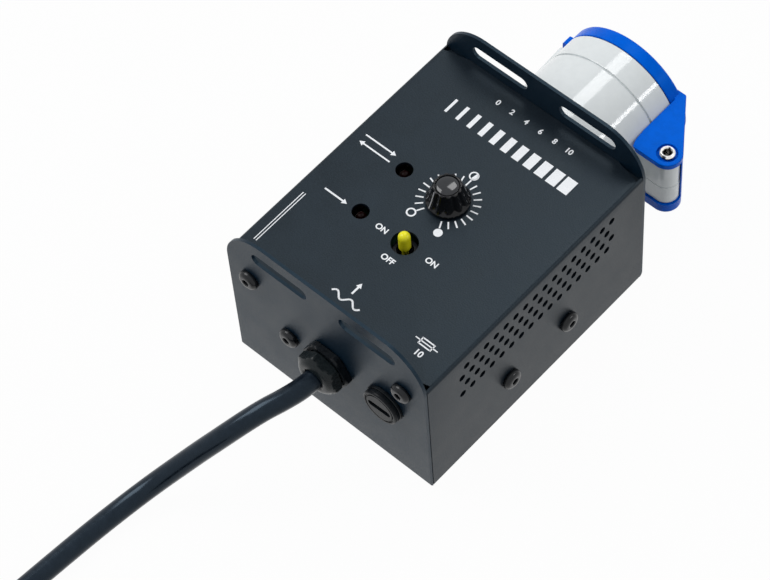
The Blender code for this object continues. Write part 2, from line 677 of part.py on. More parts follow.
def make_box_fasteners():
    for side, hand in ((-1, "left"), (1, "right")):
        box_screw(f"cover_screw_front_{hand}", "Y", -1, FRONT - GAP, (side * COVER_SCREW_X, COVER_SCREW_Z))
        box_screw(f"cover_screw_rear_{hand}", "Y", 1, REAR + GAP, (side * COVER_SCREW_X, COVER_SCREW_Z))
    for side, place_name in ((-1, "front"), (1, "rear")):
        centre = (side * HEAT_SCREW_Y, HEAT_SCREW_Z)
        box_screw(f"heat_sink_screw_{place_name}", "X", 1, COVER_HALF_WIDTH + GAP, centre)
    box_screw("earth_screw", "Y", -1, FRONT - GAP, (EARTH_X, EARTH_Z))
    ring_low = FRONT + SHEET + GAP
    nut_low = ring_low + TERMINAL_THICKNESS + GAP
    nut("earth_nut", BRIGHT_STEEL, "Y", nut_low, nut_low + EARTH_NUT_HEIGHT, (EARTH_X, EARTH_Z),
        EARTH_NUT_FLATS, SCREW_RADIUS + FIT)

    ring_high = ring_low + TERMINAL_THICKNESS
    bore = SCREW_RADIUS + FIT
    eye = 2 * bore
    tail = EARTH_Z - TERMINAL_TAIL
    profile = [(eye, ring_low), (eye, ring_high), (bore, ring_high), (bore, ring_low)]
    terminal = piece("earth_terminal", BRIGHT_STEEL,
                     lambda bm: add_turned(bm, profile, "Y", (EARTH_X, EARTH_Z), 24, closed=True))
    tongue_top = EARTH_Z - (bore + eye) / 2
    tongue_bottom = tail - TERMINAL_BARREL_LENGTH / 2
    tongue = rectangle(EARTH_X, (tongue_top + tongue_bottom) / 2, 2 * TERMINAL_BARREL, tongue_top - tongue_bottom)
    join(terminal, "tongue", lambda bm: add_prism(bm, tongue, ring_low, ring_high, "Y"))
    barrel = circle(EARTH_X, terminal_barrel_y(), TERMINAL_BARREL, 12)
    join(terminal, "barrel", lambda bm: add_prism(bm, barrel, tail - TERMINAL_BARREL_LENGTH, tail, "Z"))


def terminal_barrel_y():
    """The crimp barrel's axis stands off the plate, so that the barrel lies on the ring's face."""
    return FRONT + SHEET + GAP + TERMINAL_THICKNESS / 2 + TERMINAL_BARREL


def make_knob():
    pivot = (DIAL_X, DIAL_Y, PANEL_HEIGHT)
    centre = (DIAL_X, DIAL_Y)
    base = PANEL_HEIGHT + KNOB_STAND
    top = base + KNOB_HEIGHT
    ceiling = base + KNOB_RECESS_DEPTH
    cap_seat = top + CAP_PROUD - CAP_THICKNESS
    shaft_top = cap_seat - 2 * GAP - CAP_THICKNESS
    profile = [(KNOB_RECESS_RADIUS, base), (KNOB_BASE_RADIUS, base)]
    rows = 3
    for i in range(rows + 1):
        share = i / rows
        radius = KNOB_BASE_RADIUS + (KNOB_TOP_RADIUS - KNOB_BASE_RADIUS) * share ** 0.8
        height = base + KNOB_HEIGHT * (0.09 + 0.84 * share)
        profile.append((fluted(radius, KNOB_FLUTE_DEPTH, KNOB_FLUTES), height))
    profile += [(CAP_RADIUS + 2 * FIT, top), (CAP_RADIUS + FIT, top - CAP_PROUD)]
    profile += [(CAP_RADIUS + FIT, cap_seat - GAP), (0, cap_seat - GAP)]
    lower = [(0, shaft_top + GAP), (SHAFT_RADIUS + FIT, shaft_top + GAP), (SHAFT_RADIUS + FIT, ceiling)]
    lower += [(KNOB_RECESS_RADIUS, ceiling)]
    steps = KNOB_FLUTES * 3
    piece("knob", BLACK_KNOB, lambda bm: add_turned(bm, lower + profile, "Z", centre, steps), pivot)

    cap = [(0, cap_seat), (CAP_RADIUS, cap_seat), (CAP_RADIUS, cap_seat + CAP_THICKNESS - CAP_PROUD)]
    cap += [(CAP_RADIUS * 0.85, cap_seat + CAP_THICKNESS), (0, cap_seat + CAP_THICKNESS)]
    piece("knob_cap", GREY_CAP, lambda bm: add_turned(bm, cap, "Z", centre, 24), pivot)

    case_top = PANEL_UNDER - GAP - POT_COLLAR_HEIGHT
    shaft = [(SHAFT_RADIUS, case_top - SHAFT_IN_POT), (SHAFT_RADIUS, shaft_top)]
    piece("potentiometer_shaft", ALUMINIUM, lambda bm: add_turned(bm, shaft, "Z", centre, 18), pivot)


def make_potentiometer():
    centre = (DIAL_X, DIAL_Y)
    case_top = PANEL_UNDER - GAP - POT_COLLAR_HEIGHT
    case_floor = case_top - POT_CASE_HEIGHT
    bore = SHAFT_RADIUS + FIT
    bore_floor = case_top - SHAFT_IN_POT - GAP
    top = PANEL_HEIGHT + BUSHING_RISE
    profile = [(0, case_floor), (POT_CASE_RADIUS, case_floor), (POT_CASE_RADIUS, case_top)]
    profile += [(POT_COLLAR_RADIUS, case_top), (POT_COLLAR_RADIUS, PANEL_UNDER - GAP)]
    profile += [(BUSHING_RADIUS, PANEL_UNDER - GAP), (BUSHING_RADIUS, top), (bore, top)]
    profile += [(bore, bore_floor), (0, bore_floor)]
    piece("potentiometer", BRIGHT_STEEL, lambda bm: add_turned(bm, profile, "Z", centre, 18))
    low = PANEL_HEIGHT + GAP
    nut("potentiometer_nut", BRIGHT_STEEL, "Z", low, low + POT_NUT_HEIGHT, centre,
        POT_NUT_FLATS, BUSHING_RADIUS + FIT)


def make_switch():
    centre = (SWITCH_X, SWITCH_Y)
    floor = CONTROL_TOP + GAP
    top = floor + SWITCH_CASE_HEIGHT
    neck_top = top + SWITCH_NECK_HEIGHT
    case = rectangle(SWITCH_X, SWITCH_Y, SWITCH_CASE, SWITCH_CASE)
    body = piece("switch_body", BLACK_NYLON, lambda bm: add_prism(bm, case, floor, top, "Z"))
    neck = circle(*centre, SWITCH_NECK_RADIUS, 24)
    join(body, "neck", lambda bm: add_prism(bm, neck, top - SHEET, neck_top, "Z"))
    pocket_floor = LEVER_PIVOT - LEVER_STEM_BELOW - 2 * GAP
    pocket = [(2 * LEVER_STEM_RADIUS, pocket_floor), (2 * LEVER_STEM_RADIUS, LEVER_PIVOT)]
    pocket += [(SWITCH_MOUTH_RADIUS, neck_top), (SWITCH_MOUTH_RADIUS, neck_top + OVERCUT)]
    cut(body, "mouth", lambda bm: add_turned(bm, pocket, "Z", centre, 24))

    shoulder = neck_top + LEVER_NECK_GAP
    tip = PANEL_HEIGHT + LEVER_RISE
    profile = [(LEVER_STEM_RADIUS, LEVER_PIVOT - LEVER_STEM_BELOW), (LEVER_STEM_RADIUS, shoulder)]
    profile += [(LEVER_RADIUS, shoulder), (LEVER_RADIUS, tip - LEVER_RADIUS)]
    for angle in (30, 60):
        t = radians(angle)
        profile.append((LEVER_RADIUS * cos(t), tip - LEVER_RADIUS + LEVER_RADIUS * sin(t)))
    profile.append((0, tip))
    pivot = (SWITCH_X, SWITCH_Y, LEVER_PIVOT)
    piece("switch_lever", YELLOW_PLASTIC, lambda bm: add_turned(bm, profile, "Z", centre, 18), pivot)


def make_control_board():
    left = LED_X - LED_FLANGE - CONTROL_BOARD_MARGIN
    right = DIAL_X + POT_CASE_RADIUS + CONTROL_BOARD_MARGIN
    front = SWITCH_Y - SWITCH_CASE / 2 - CONTROL_BOARD_MARGIN
    rear = DIAL_Y + POT_CASE_RADIUS + CONTROL_BOARD_MARGIN
    outline = rectangle((left + right) / 2, (front + rear) / 2, right - left, rear - front)
    piece("control_board", GREEN_BOARD, lambda bm: add_prism(bm, outline, CONTROL_TOP - BOARD, CONTROL_TOP, "Z"))
    radius = LED_DIAMETER / 2
    top = PANEL_HEIGHT - LED_DROP
    for name, y in (("led_fault", DIAL_Y), ("led_output", SWITCH_Y)):
        skirt = top - LED_HEIGHT
        skirt_top = skirt + LED_FLANGE_HEIGHT
        profile = [(radius, CONTROL_TOP + GAP), (radius, skirt), (LED_FLANGE, skirt), (LED_FLANGE, skirt_top)]
        profile += [(radius, skirt_top), (radius, top - radius)]
        profile += [(radius * cos(t), top - radius + radius * sin(t)) for t in (radians(30), radians(60))]
        profile.append((0, top))
        piece(name, RED_LENS, lambda bm: add_turned(bm, profile, "Z", (LED_X, y), 12))


def standoff_places():
    x = -POWER_BOARD_LEFT + STANDOFF_INSET
    return [(x, -POWER_BOARD_FRONT + STANDOFF_INSET), (x, POWER_BOARD_REAR - STANDOFF_INSET)]


def triac_middle():
    """The triac's thickness lies against the heat sink's inner face."""
    return heat_face() - GAP - TRIAC[0] / 2


def heat_face():
    return SIDE_INNER - GAP - HEAT_BASE


def make_power_board():
    right = heat_face() - GAP
    outline = rectangle((right - POWER_BOARD_LEFT) / 2, (POWER_BOARD_REAR - POWER_BOARD_FRONT) / 2,
                        right + POWER_BOARD_LEFT, POWER_BOARD_REAR + POWER_BOARD_FRONT)
    board = piece("power_board", GREEN_BOARD, lambda bm: add_prism(bm, outline, POWER_BOARD_HEIGHT, BOARD_TOP, "Z"))

    def stud_holes(bm):
        for x, y in standoff_places():
            hole = circle(x, y, STANDOFF_STUD + FIT, 12)
            add_prism(bm, hole, POWER_BOARD_HEIGHT - OVERCUT, BOARD_TOP + OVERCUT, "Z")

    cut(board, "stud_holes", stud_holes)
    low = SHEET + GAP
    high = POWER_BOARD_HEIGHT - GAP
    hexagon = hexagonal(STANDOFF_FLATS)
    profile = [(STANDOFF_STUD, GAP), (STANDOFF_STUD, low), (hexagon, low), (hexagon, high)]
    profile += [(STANDOFF_STUD, high), (STANDOFF_STUD, BOARD_TOP + STUD_RISE)]
    for name, spot in zip(("standoff_front", "standoff_rear"), standoff_places()):
        piece(name, BRASS, lambda bm: add_turned(bm, profile, "Z", spot, 12))

    seat = BOARD_TOP + GAP
    section = [(CHOKE_RING + a, b) for a, b in circle(0, seat + CHOKE_THICKNESS, CHOKE_THICKNESS, 8, turn=22.5)]
    piece("suppression_choke", COPPER,
          lambda bm: add_turned(bm, section, "Z", (CHOKE_X, CHOKE_Y), 20, closed=True))
    for name, finish, size, x, y in (
        ("suppression_capacitor", CAPACITOR_YELLOW, CAPACITOR, CAPACITOR_X, CAPACITOR_Y),
        ("terminal_block", BLUE_PLASTIC, TERMINAL_BLOCK, TERMINAL_BLOCK_X, TERMINAL_BLOCK_Y),
    ):
        piece(name, finish, lambda bm: add_prism(bm, rectangle(x, y, size[0], size[1]), seat, seat + size[2], "Z"))


def make_heat_sink():
    wall = SIDE_INNER - GAP
    face = heat_face()
    shelf_top = POWER_BOARD_HEIGHT - GAP
    outline = [(face - HEAT_SHELF, HEAT_BOTTOM), (wall, HEAT_BOTTOM), (wall, HEAT_TOP)]
    for fin in range(HEAT_FINS):
        top = HEAT_TOP - fin * HEAT_FIN_PITCH
        tip = face - HEAT_FIN_LENGTH
        outline += [(tip, top), (tip, top - HEAT_FIN), (face, top - HEAT_FIN)]
        if fin < HEAT_FINS - 1:
            outline += [(face, top - HEAT_FIN_PITCH)]
    outline += [(face, shelf_top), (face - HEAT_SHELF, shelf_top)]
    sink = piece("heat_sink", ALUMINIUM,
                 lambda bm: add_prism(bm, outline, -HEAT_HALF_LENGTH, HEAT_HALF_LENGTH, "Y"))
    triac_floor = BOARD_TOP + TRIAC_LIFT
    triac_hole = triac_floor + TRIAC[2] - TRIAC_HOLE_DROP

    def tapped_holes(bm):
        screw_end = COVER_HALF_WIDTH + GAP - SCREW_LENGTH
        for side in (-1, 1):
            outline = circle(side * HEAT_SCREW_Y, HEAT_SCREW_Z, SCREW_RADIUS + FIT, 12)
            add_prism(bm, outline, screw_end - GAP, wall + OVERCUT, "X")
        end = triac_middle() - TRIAC[0] / 2 + SMALL_SCREW_REACH
        add_prism(bm, circle(0, triac_hole, SMALL_SCREW_RADIUS + FIT, 12), face - OVERCUT, end, "X")

    cut(sink, "tapped_holes", tapped_holes)

    middle = triac_middle()
    case = rectangle(middle, 0, TRIAC[0], TRIAC[1])
    triac = piece("triac", BLACK_NYLON, lambda bm: add_prism(bm, case, triac_floor, triac_floor + TRIAC[2], "Z"))
    legs = rectangle(middle, 0, TRIAC_LEG[0], TRIAC_LEG[1])
    join(triac, "legs", lambda bm: add_prism(bm, legs, BOARD_TOP + GAP, triac_floor + GAP, "Z"))
    hole = circle(0, triac_hole, SMALL_SCREW_RADIUS + FIT, 12)
    cut(triac, "screw_hole", lambda bm: add_prism(bm, hole, middle - TRIAC[0], middle + TRIAC[0], "X"))
    seat = middle - TRIAC[0] / 2 - GAP
    screw("triac_screw", BRIGHT_STEEL, "X", -1, seat, (0, triac_hole), SMALL_SCREW_RADIUS, SMALL_SCREW_HEAD,
          SMALL_SCREW_HEIGHT, SMALL_SCREW_REACH - GAP, SMALL_SCREW_HEAD * 0.8, SMALL_SCREW_HEIGHT * 0.6)


def make_fuse():
    centre = (FUSE_X, FUSE_Z)
    flange_face = FRONT - GAP - FUSE_FLANGE
    rear = FRONT + FUSE_DEPTH
    profile = [(0, rear), (FUSE_BODY_RADIUS, rear), (FUSE_BODY_RADIUS, FRONT - GAP)]
    profile += [(FUSE_FLANGE_RADIUS, FRONT - GAP), (FUSE_FLANGE_RADIUS, flange_face), (FUSE_BORE_RADIUS, flange_face)]
    profile += [(FUSE_BORE_RADIUS, rear - FUSE_FLOOR), (0, rear - FUSE_FLOOR)]
    piece("fuse_holder", BLACK_NYLON, lambda bm: add_turned(bm, profile, "Y", centre, 24))
    low = FRONT + SHEET + GAP
    nut("fuse_holder_nut", BLACK_NYLON, "Y", low, low + FUSE_NUT_HEIGHT, centre,
        FUSE_NUT_FLATS, FUSE_BODY_RADIUS + FIT)

    seat = flange_face - GAP
    face = seat - FUSE_CAP_HEIGHT
    stem = FUSE_BORE_RADIUS - FIT
    stem_end = seat + FUSE_STEM_LENGTH
    cup = FUSE_LINK_RADIUS + FIT
    cup_floor = seat + FUSE_STEM_FLOOR
    edge = FUSE_CAP_RADIUS * 0.93
    profile = [(0, face), (edge, face), (FUSE_CAP_RADIUS, face + FUSE_CAP_HEIGHT * 0.2), (FUSE_CAP_RADIUS, seat)]
    profile += [(stem, seat), (stem, stem_end), (cup, stem_end), (cup, cup_floor), (0, cup_floor)]
    pivot = (FUSE_X, FRONT, FUSE_Z)
    cap = piece("fuse_cap", BLACK_NYLON, lambda bm: add_turned(bm, profile, "Y", centre, 24), pivot)

    def coin_slot(bm):
        tilt = radians(FUSE_SLOT_TILT)
        half = (FUSE_SLOT_LENGTH / 2, FUSE_SLOT_WIDTH / 2)
        corners = [(-half[0], -half[1]), (half[0], -half[1]), (half[0], half[1]), (-half[0], half[1])]
        outline = []
        for a, b in corners:
            outline.append((FUSE_X + a * cos(tilt) - b * sin(tilt), FUSE_Z + a * sin(tilt) + b * cos(tilt)))
        add_prism(bm, outline, face - OVERCUT, face + FUSE_SLOT_DEPTH, "Y")

    cut(cap, "coin_slot", coin_slot)
    link = [(FUSE_LINK_RADIUS, cup_floor + GAP), (FUSE_LINK_RADIUS, cup_floor + GAP + FUSE_LINK_LENGTH)]
    piece("fuse_link", FUSE_CERAMIC, lambda bm: add_turned(bm, link, "Y", centre, 18), pivot)


def gland_mouth():
    """The level of the gland's outer end, where the cable comes out."""
    return FRONT - GAP - GLAND_BODY_HEX - GAP - GLAND_NUT_HEX - GLAND_DOME


def make_gland():
    centre = (GLAND_X, GLAND_Z)
    seat = FRONT - GAP
    body_face = seat - GLAND_BODY_HEX
    hex_start = body_face - GAP
    hex_end = hex_start - GLAND_NUT_HEX
    mouth = gland_mouth()
    thread = GLAND_THREAD_RADIUS - 2 * FIT
    thread_end = hex_end + GAP
    inside = FRONT + GLAND_INSIDE
    cable = CABLE_RADIUS + FIT
    body_hexagon = hexagonal(GLAND_BODY_FLATS)
    profile = [(GLAND_BORE_RADIUS, thread_end), (thread, thread_end), (thread, body_face)]
    profile += [(body_hexagon, body_face), (body_hexagon, seat), (GLAND_THREAD_RADIUS, seat)]
    profile += [(GLAND_THREAD_RADIUS, inside), (cable, inside), (cable, seat + SHEET)]
    profile += [(GLAND_BORE_RADIUS, seat + SHEET)]
    piece("gland_body", BLACK_NYLON, lambda bm: add_turned(bm, profile, "Y", centre, 24, closed=True))

    bore = thread + FIT
    ceiling = thread_end - 2 * GAP
    hexagon = hexagonal(GLAND_NUT_FLATS)
    profile = [(bore, hex_start), (hexagon, hex_start), (hexagon, hex_end)]
    for share in (0.0, 0.35, 0.7, 1.0):
        radius = cable + GLAND_MOUTH_LIP + (GLAND_NUT_FLATS / 2 - cable - GLAND_MOUTH_LIP) * sqrt(1 - share ** 2)
        profile.append((radius, hex_end - GLAND_DOME * share))
    profile += [(cable, mouth), (cable, ceiling), (bore, ceiling)]
    piece("gland_nut", BLACK_NYLON,
          lambda bm: add_turned(bm, profile, "Y", centre, 24, closed=True, turn=radians(GLAND_NUT_TURN)))

    outer = GLAND_BORE_RADIUS - FIT
    seal_high = seat + SHEET - GAP
    profile = [(cable, thread_end), (outer, thread_end), (outer, seal_high), (cable, seal_high)]
    piece("gland_seal", BLACK_RUBBER, lambda bm: add_turned(bm, profile, "Y", centre, 24, closed=True))
    low = FRONT + SHEET + GAP
    nut("gland_locknut", BLACK_NYLON, "Y", low, low + GLAND_LOCKNUT, centre,
        GLAND_BODY_FLATS, GLAND_THREAD_RADIUS + FIT)


def between(first, last, *shares):
    """Points whose X, Y and Z each lie at their own share of the way from one point to another."""
    ends = list(zip(first, last))
    return [tuple(a + (b - a) * share for (a, b), share in zip(ends, point)) for point in shares]


def make_wires():
    """The cable's three cores, from its cut end inside the gland to where each is fastened."""
    start = FRONT + GLAND_INSIDE + GAP
    straight = 2 * WIRE_RADIUS
    leads = []
    for angle in (330, 210, 90):
        x = GLAND_X + WIRE_CIRCLE * cos(radians(angle))
        z = GLAND_Z + WIRE_CIRCLE * sin(radians(angle))
        leads.append([(x, start, z), (x, start + straight, z)])
    side = FUSE_X - FUSE_BODY_RADIUS - GAP
    fuse_y = FRONT + FUSE_DEPTH - 2 * FUSE_FLOOR
    block_top = BOARD_TOP + GAP + TERMINAL_BLOCK[2] + GAP
    crimp = EARTH_Z - TERMINAL_TAIL - TERMINAL_BARREL_LENGTH - GAP
    crimp_y = terminal_barrel_y()
    live_end = [(side - straight, fuse_y, FUSE_Z), (side, fuse_y, FUSE_Z)]
    neutral_end = [(TERMINAL_BLOCK_X, TERMINAL_BLOCK_Y, block_top + straight)]
    neutral_end += [(TERMINAL_BLOCK_X, TERMINAL_BLOCK_Y, block_top)]
    earth_end = [(EARTH_X, crimp_y, crimp - straight), (EARTH_X, crimp_y, crimp)]
    live_way = [(0.19, 0.37, 0.27), (0.51, 0.84, 0.91)]
    neutral_way = [(0.20, 0.59, 0.165), (0.70, 0.91, 0.54)]
    earth_way = [(0.27, -0.71, 0.04), (0.65, -0.71, 0.40), (0.86, -0.23, 0.87), (0.954, 0.61, 1.11)]
    for name, finish, lead, way, end in (
        ("wire_live", BROWN_WIRE, leads[0], live_way, live_end),
        ("wire_neutral", BLUE_WIRE, leads[1], neutral_way, neutral_end),
        ("wire_earth", EARTH_WIRE, leads[2], earth_way, earth_end),
    ):
        route = lead + between(lead[-1], end[0], *way) + end
        tube(name, finish, smooth_route(route, 3 * WIRE_RADIUS), WIRE_RADIUS, 2)


def coil_start():
    return (COIL_X - COIL_RADIUS, COIL_Y)


def make_cable():
    """The free stretch, from inside the gland over the floor to the coil."""
    mouth = gland_mouth()
    start = FRONT + GLAND_INSIDE - GAP
    x, y = coil_start()
    lead = 2 * CABLE_RADIUS
    route = [(GLAND_X, start, GLAND_Z), (GLAND_X, mouth + lead, GLAND_Z), (GLAND_X, mouth - lead / 4, GLAND_Z)]
    route += [(-0.0016, -0.0915, 0.0431), (-0.0056, -0.1011, 0.0412), (-0.0100, -0.1099, 0.0368)]
    route += [(-0.0146, -0.1175, 0.0310), (-0.0197, -0.1248, 0.0242), (-0.0247, -0.1323, 0.0172)]
    route += [(-0.0293, -0.1403, 0.0110), (-0.0327, -0.1491, 0.0069), (-0.0348, -0.1589, 0.0051)]
    route += [(-0.0361, -0.1693, CABLE_FLOOR), (-0.0384, -0.1980, CABLE_FLOOR), (-0.0402, -0.2260, CABLE_FLOOR)]
    route += [(x, y + 2 * lead, CABLE_FLOOR), (x, y + lead + GAP, CABLE_FLOOR)]
    points = smooth_route(route, 2.2 * CABLE_RADIUS)
    points[:, 2] = np.maximum(points[:, 2], CABLE_FLOOR)
    tube("supply_cable", BLACK_RUBBER, points, CABLE_RADIUS, 2)


def coil_points():
    """A two-layer coil: in along the floor, up a layer in the half turn at the middle, and out again."""
    x, y = coil_start()
    points = [(x, y + 2 * CABLE_RADIUS, CABLE_FLOOR)]
    middle = COIL_TURNS / 2
    for i in range(COIL_TURNS * COIL_POINTS + 1):
        turns = i / COIL_POINTS
        radius = COIL_RADIUS - COIL_PITCH * (middle - abs(turns - middle))
        climb = min(1.0, max(0.0, (turns - middle + 0.25) / 0.5))
        rise = COIL_PITCH * climb * climb * (3 - 2 * climb)
        lift = min(1.0, max(0.0, turns - COIL_TURNS + 1.0))
        rise += (PLUG_Z - CABLE_FLOOR - COIL_PITCH) * lift * lift * (3 - 2 * lift)
        angle = pi + 2 * pi * turns
        points.append((COIL_X + radius * cos(angle), COIL_Y + radius * sin(angle), CABLE_FLOOR + rise))
    points.append((x, y - COIL_TAIL, PLUG_Z))
    return points


def least_gap(points, radius):
    """The smallest clear distance between stretches of a tube that aren't next to each other."""
    corners = np.array(points)
    parts = 6
    share = np.arange(parts)[:, None] / parts
    fine = np.concatenate([a + (b - a) * share for a, b in zip(corners, corners[1:])])
    along = np.concatenate([[0.0], np.cumsum(np.linalg.norm(np.diff(fine, axis=0), axis=1))])
    apart = np.linalg.norm(fine[:, None] - fine[None], axis=2)
    far = np.abs(along[:, None] - along[None]) > 6 * radius
    return float(apart[far].min() - 2 * radius)


def make_coil():
    points = coil_points()
    tube("cable_coil", BLACK_RUBBER, points, CABLE_RADIUS, 1)
    print(f"cable_coil: least gap to itself {1000 * least_gap(points, CABLE_RADIUS):.2f} mm")


def make_plug():
    x = COIL_X - COIL_RADIUS
    start = COIL_Y - COIL_TAIL - GAP
    boot_end = start - PLUG_BOOT_LENGTH
    body_start = boot_end - PLUG_SHOULDER
    face = body_start - PLUG_LENGTH
    profile = [(PLUG_BOOT_RADIUS, start), (PLUG_BOOT_RADIUS * 1.35, boot_end), (PLUG_RADIUS * 0.8, boot_end - GAP)]
    profile += [(PLUG_RADIUS, body_start), (PLUG_RADIUS, face + PLUG_EDGE), (PLUG_RADIUS - PLUG_EDGE, face)]
    body = piece("plug_body", BLACK_RUBBER, lambda bm: add_turned(bm, profile, "Y", (x, PLUG_Z), 24))
    pins = [(x + side * PIN_SPACING / 2, PLUG_Z) for side in (-1, 1)]

    def pin_holes(bm):
        for a, b in pins:
            add_prism(bm, circle(a, b, PIN_RADIUS + FIT, 12), face - OVERCUT, face + PIN_IN_PLUG + GAP, "Y")

    cut(body, "pin_holes", pin_holes)
    end = face - PIN_LENGTH
    shape = [(PIN_RADIUS, face + PIN_IN_PLUG), (PIN_RADIUS, end + PIN_RADIUS), (PIN_RADIUS * 0.5, end)]
    for name, centre in zip(("plug_pin_left", "plug_pin_right"), pins):
        piece(name, BRASS, lambda bm: add_turned(bm, shape, "Y", centre, 12))


def flange_screw_places():
    return [(SOCKET_X + i * FLANGE_SCREW, SOCKET_Z + k * FLANGE_SCREW) for k in (1, -1) for i in (-1, 1)]


def block_levels():
    """The hinge block's lower and upper faces."""
    return SOCKET_Z - HINGE_BLOCK_HEIGHT / 2, SOCKET_Z + HINGE_BLOCK_HEIGHT / 2


def make_socket_shell():
    centre = (SOCKET_X, SOCKET_Z)
    seat = REAR + GAP
    flange = rounded_rectangle(SOCKET_X, SOCKET_Z, FLANGE_SIDE, FLANGE_SIDE, FLANGE_CORNER)
    shell = piece("socket_shell", GREY_PLASTIC,
                  lambda bm: add_prism(bm, flange, seat, seat + FLANGE_THICKNESS, "Y"))
    groove = MOUTH - GROOVE_FROM_MOUTH
    outer = [(0, seat + FLANGE_THICKNESS / 2), (BARREL_RADIUS, seat + FLANGE_THICKNESS / 2), (BARREL_RADIUS, groove)]
    outer += [(BARREL_RADIUS - GROOVE_DEPTH, groove), (BARREL_RADIUS - GROOVE_DEPTH, groove + GROOVE_WIDTH)]
    outer += [(BARREL_RADIUS, groove + GROOVE_WIDTH), (BARREL_RADIUS, MOUTH), (0, MOUTH)]
    join(shell, "barrel", lambda bm: add_turned(bm, outer, "Y", centre, 32))

    low, high = block_levels()
    front_edge = HINGE_Y - HINGE_BLOCK_RADIUS
    rear_edge = HINGE_Y + HINGE_BLOCK_RADIUS
    inside = SOCKET_X + BARREL_RADIUS - 2 * BARREL_WALL
    block = [(inside, front_edge)] + arc(HINGE_X, HINGE_Y, HINGE_BLOCK_RADIUS, -90, 90, 10) + [(inside, rear_edge)]
    join(shell, "hinge_block", lambda bm: add_prism(bm, block, low, high, "Z"))
    rib_outer = SOCKET_X - BARREL_RADIUS - KEY_RISE
    rib_inner = SOCKET_X - BARREL_RADIUS + BARREL_WALL / 2
    rib = rectangle((rib_outer + rib_inner) / 2, SOCKET_Z, rib_inner - rib_outer, KEY_WIDTH)
    join(shell, "key_rib", lambda bm: add_prism(bm, rib, seat + FLANGE_THICKNESS / 2, MOUTH, "Y"))

    floor = seat + SHELL_FLOOR
    bore = BARREL_RADIUS - BARREL_WALL
    hollow = [(CARRIER_RADIUS + 2 * FIT, seat - OVERCUT), (CARRIER_RADIUS + 2 * FIT, floor), (bore, floor)]
    hollow += [(bore, MOUTH + OVERCUT)]
    cut(shell, "bore", lambda bm: add_turned(bm, hollow, "Y", centre, 32))

    keyway = rectangle(SOCKET_X - bore, SOCKET_Z, 2 * KEYWAY_DEPTH, KEYWAY_WIDTH)
    keyway_start = floor + GAP + CARRIER_COLLAR + GAP
    cut(shell, "keyway", lambda bm: add_prism(bm, keyway, keyway_start, MOUTH + OVERCUT, "Y"))

    def hinge_bores(bm):
        pocket_top = low + SPRING_PITCH * (SPRING_TURNS + 1) + 2 * SPRING_WIRE
        profile = [(SPRING_POCKET, low - OVERCUT), (SPRING_POCKET, pocket_top), (PIN_SHANK + FIT, pocket_top)]
        profile += [(PIN_SHANK + FIT, high + OVERCUT)]
        add_turned(bm, profile, "Z", (HINGE_X, HINGE_Y), 18)

    def screw_holes(bm):
        for x, z in flange_screw_places():
            hole = circle(x, z, SOCKET_SCREW_RADIUS + FIT, 12)
            add_prism(bm, hole, seat - OVERCUT, seat + 2 * FLANGE_THICKNESS, "Y")

    cut(shell, "hinge_bores", hinge_bores)
    cut(shell, "screw_holes", screw_holes)

    head_seat = seat + FLANGE_THICKNESS + GAP
    names = ("upper_left", "upper_right", "lower_left", "lower_right")
    for name, spot in zip(names, flange_screw_places()):
        screw(f"socket_screw_{name}", BRIGHT_STEEL, "Y", 1, head_seat, spot, SOCKET_SCREW_RADIUS, SOCKET_SCREW_HEAD,
              SOCKET_SCREW_HEIGHT, SOCKET_SCREW_LENGTH, SCREW_KEY, SOCKET_SCREW_HEIGHT * 0.6)


def contact_places():
    """Three contacts on a circle: the earth contact faces the keyway, on the left."""
    places = []
    for name, angle in (("earth", 180), ("live", 60), ("neutral", 300)):
        t = radians(angle)
        places.append((name, (SOCKET_X + CONTACT_CIRCLE * cos(t), SOCKET_Z + CONTACT_CIRCLE * sin(t))))
    return places


def make_contacts():
    centre = (SOCKET_X, SOCKET_Z)
    back = REAR - CARRIER_INSIDE
    face = MOUTH - CARRIER_FROM_MOUTH
    collar = REAR + GAP + SHELL_FLOOR + GAP
    profile = [(CARRIER_RADIUS, back), (CARRIER_RADIUS, collar), (CARRIER_COLLAR_RADIUS, collar)]
    profile += [(CARRIER_COLLAR_RADIUS, collar + CARRIER_COLLAR), (CARRIER_RADIUS, collar + CARRIER_COLLAR)]
    profile += [(CARRIER_RADIUS, face)]
    carrier = piece("contact_carrier", DARK_PLASTIC, lambda bm: add_turned(bm, profile, "Y", centre, 24))

    def contact_holes(bm):
        for _, (x, z) in contact_places():
            add_prism(bm, circle(x, z, CONTACT_RADIUS + FIT, 12), back - OVERCUT, face + OVERCUT, "Y")

    cut(carrier, "contact_holes", contact_holes)
    front = face - CONTACT_SETBACK
    tube_profile = [(0, back), (CONTACT_RADIUS, back), (CONTACT_RADIUS, front), (CONTACT_BORE, front)]
    tube_profile += [(CONTACT_BORE, back + CONTACT_FLOOR), (0, back + CONTACT_FLOOR)]
    for name, spot in contact_places():
        piece(f"contact_{name}", BRASS, lambda bm: add_turned(bm, tube_profile, "Y", spot, 12))


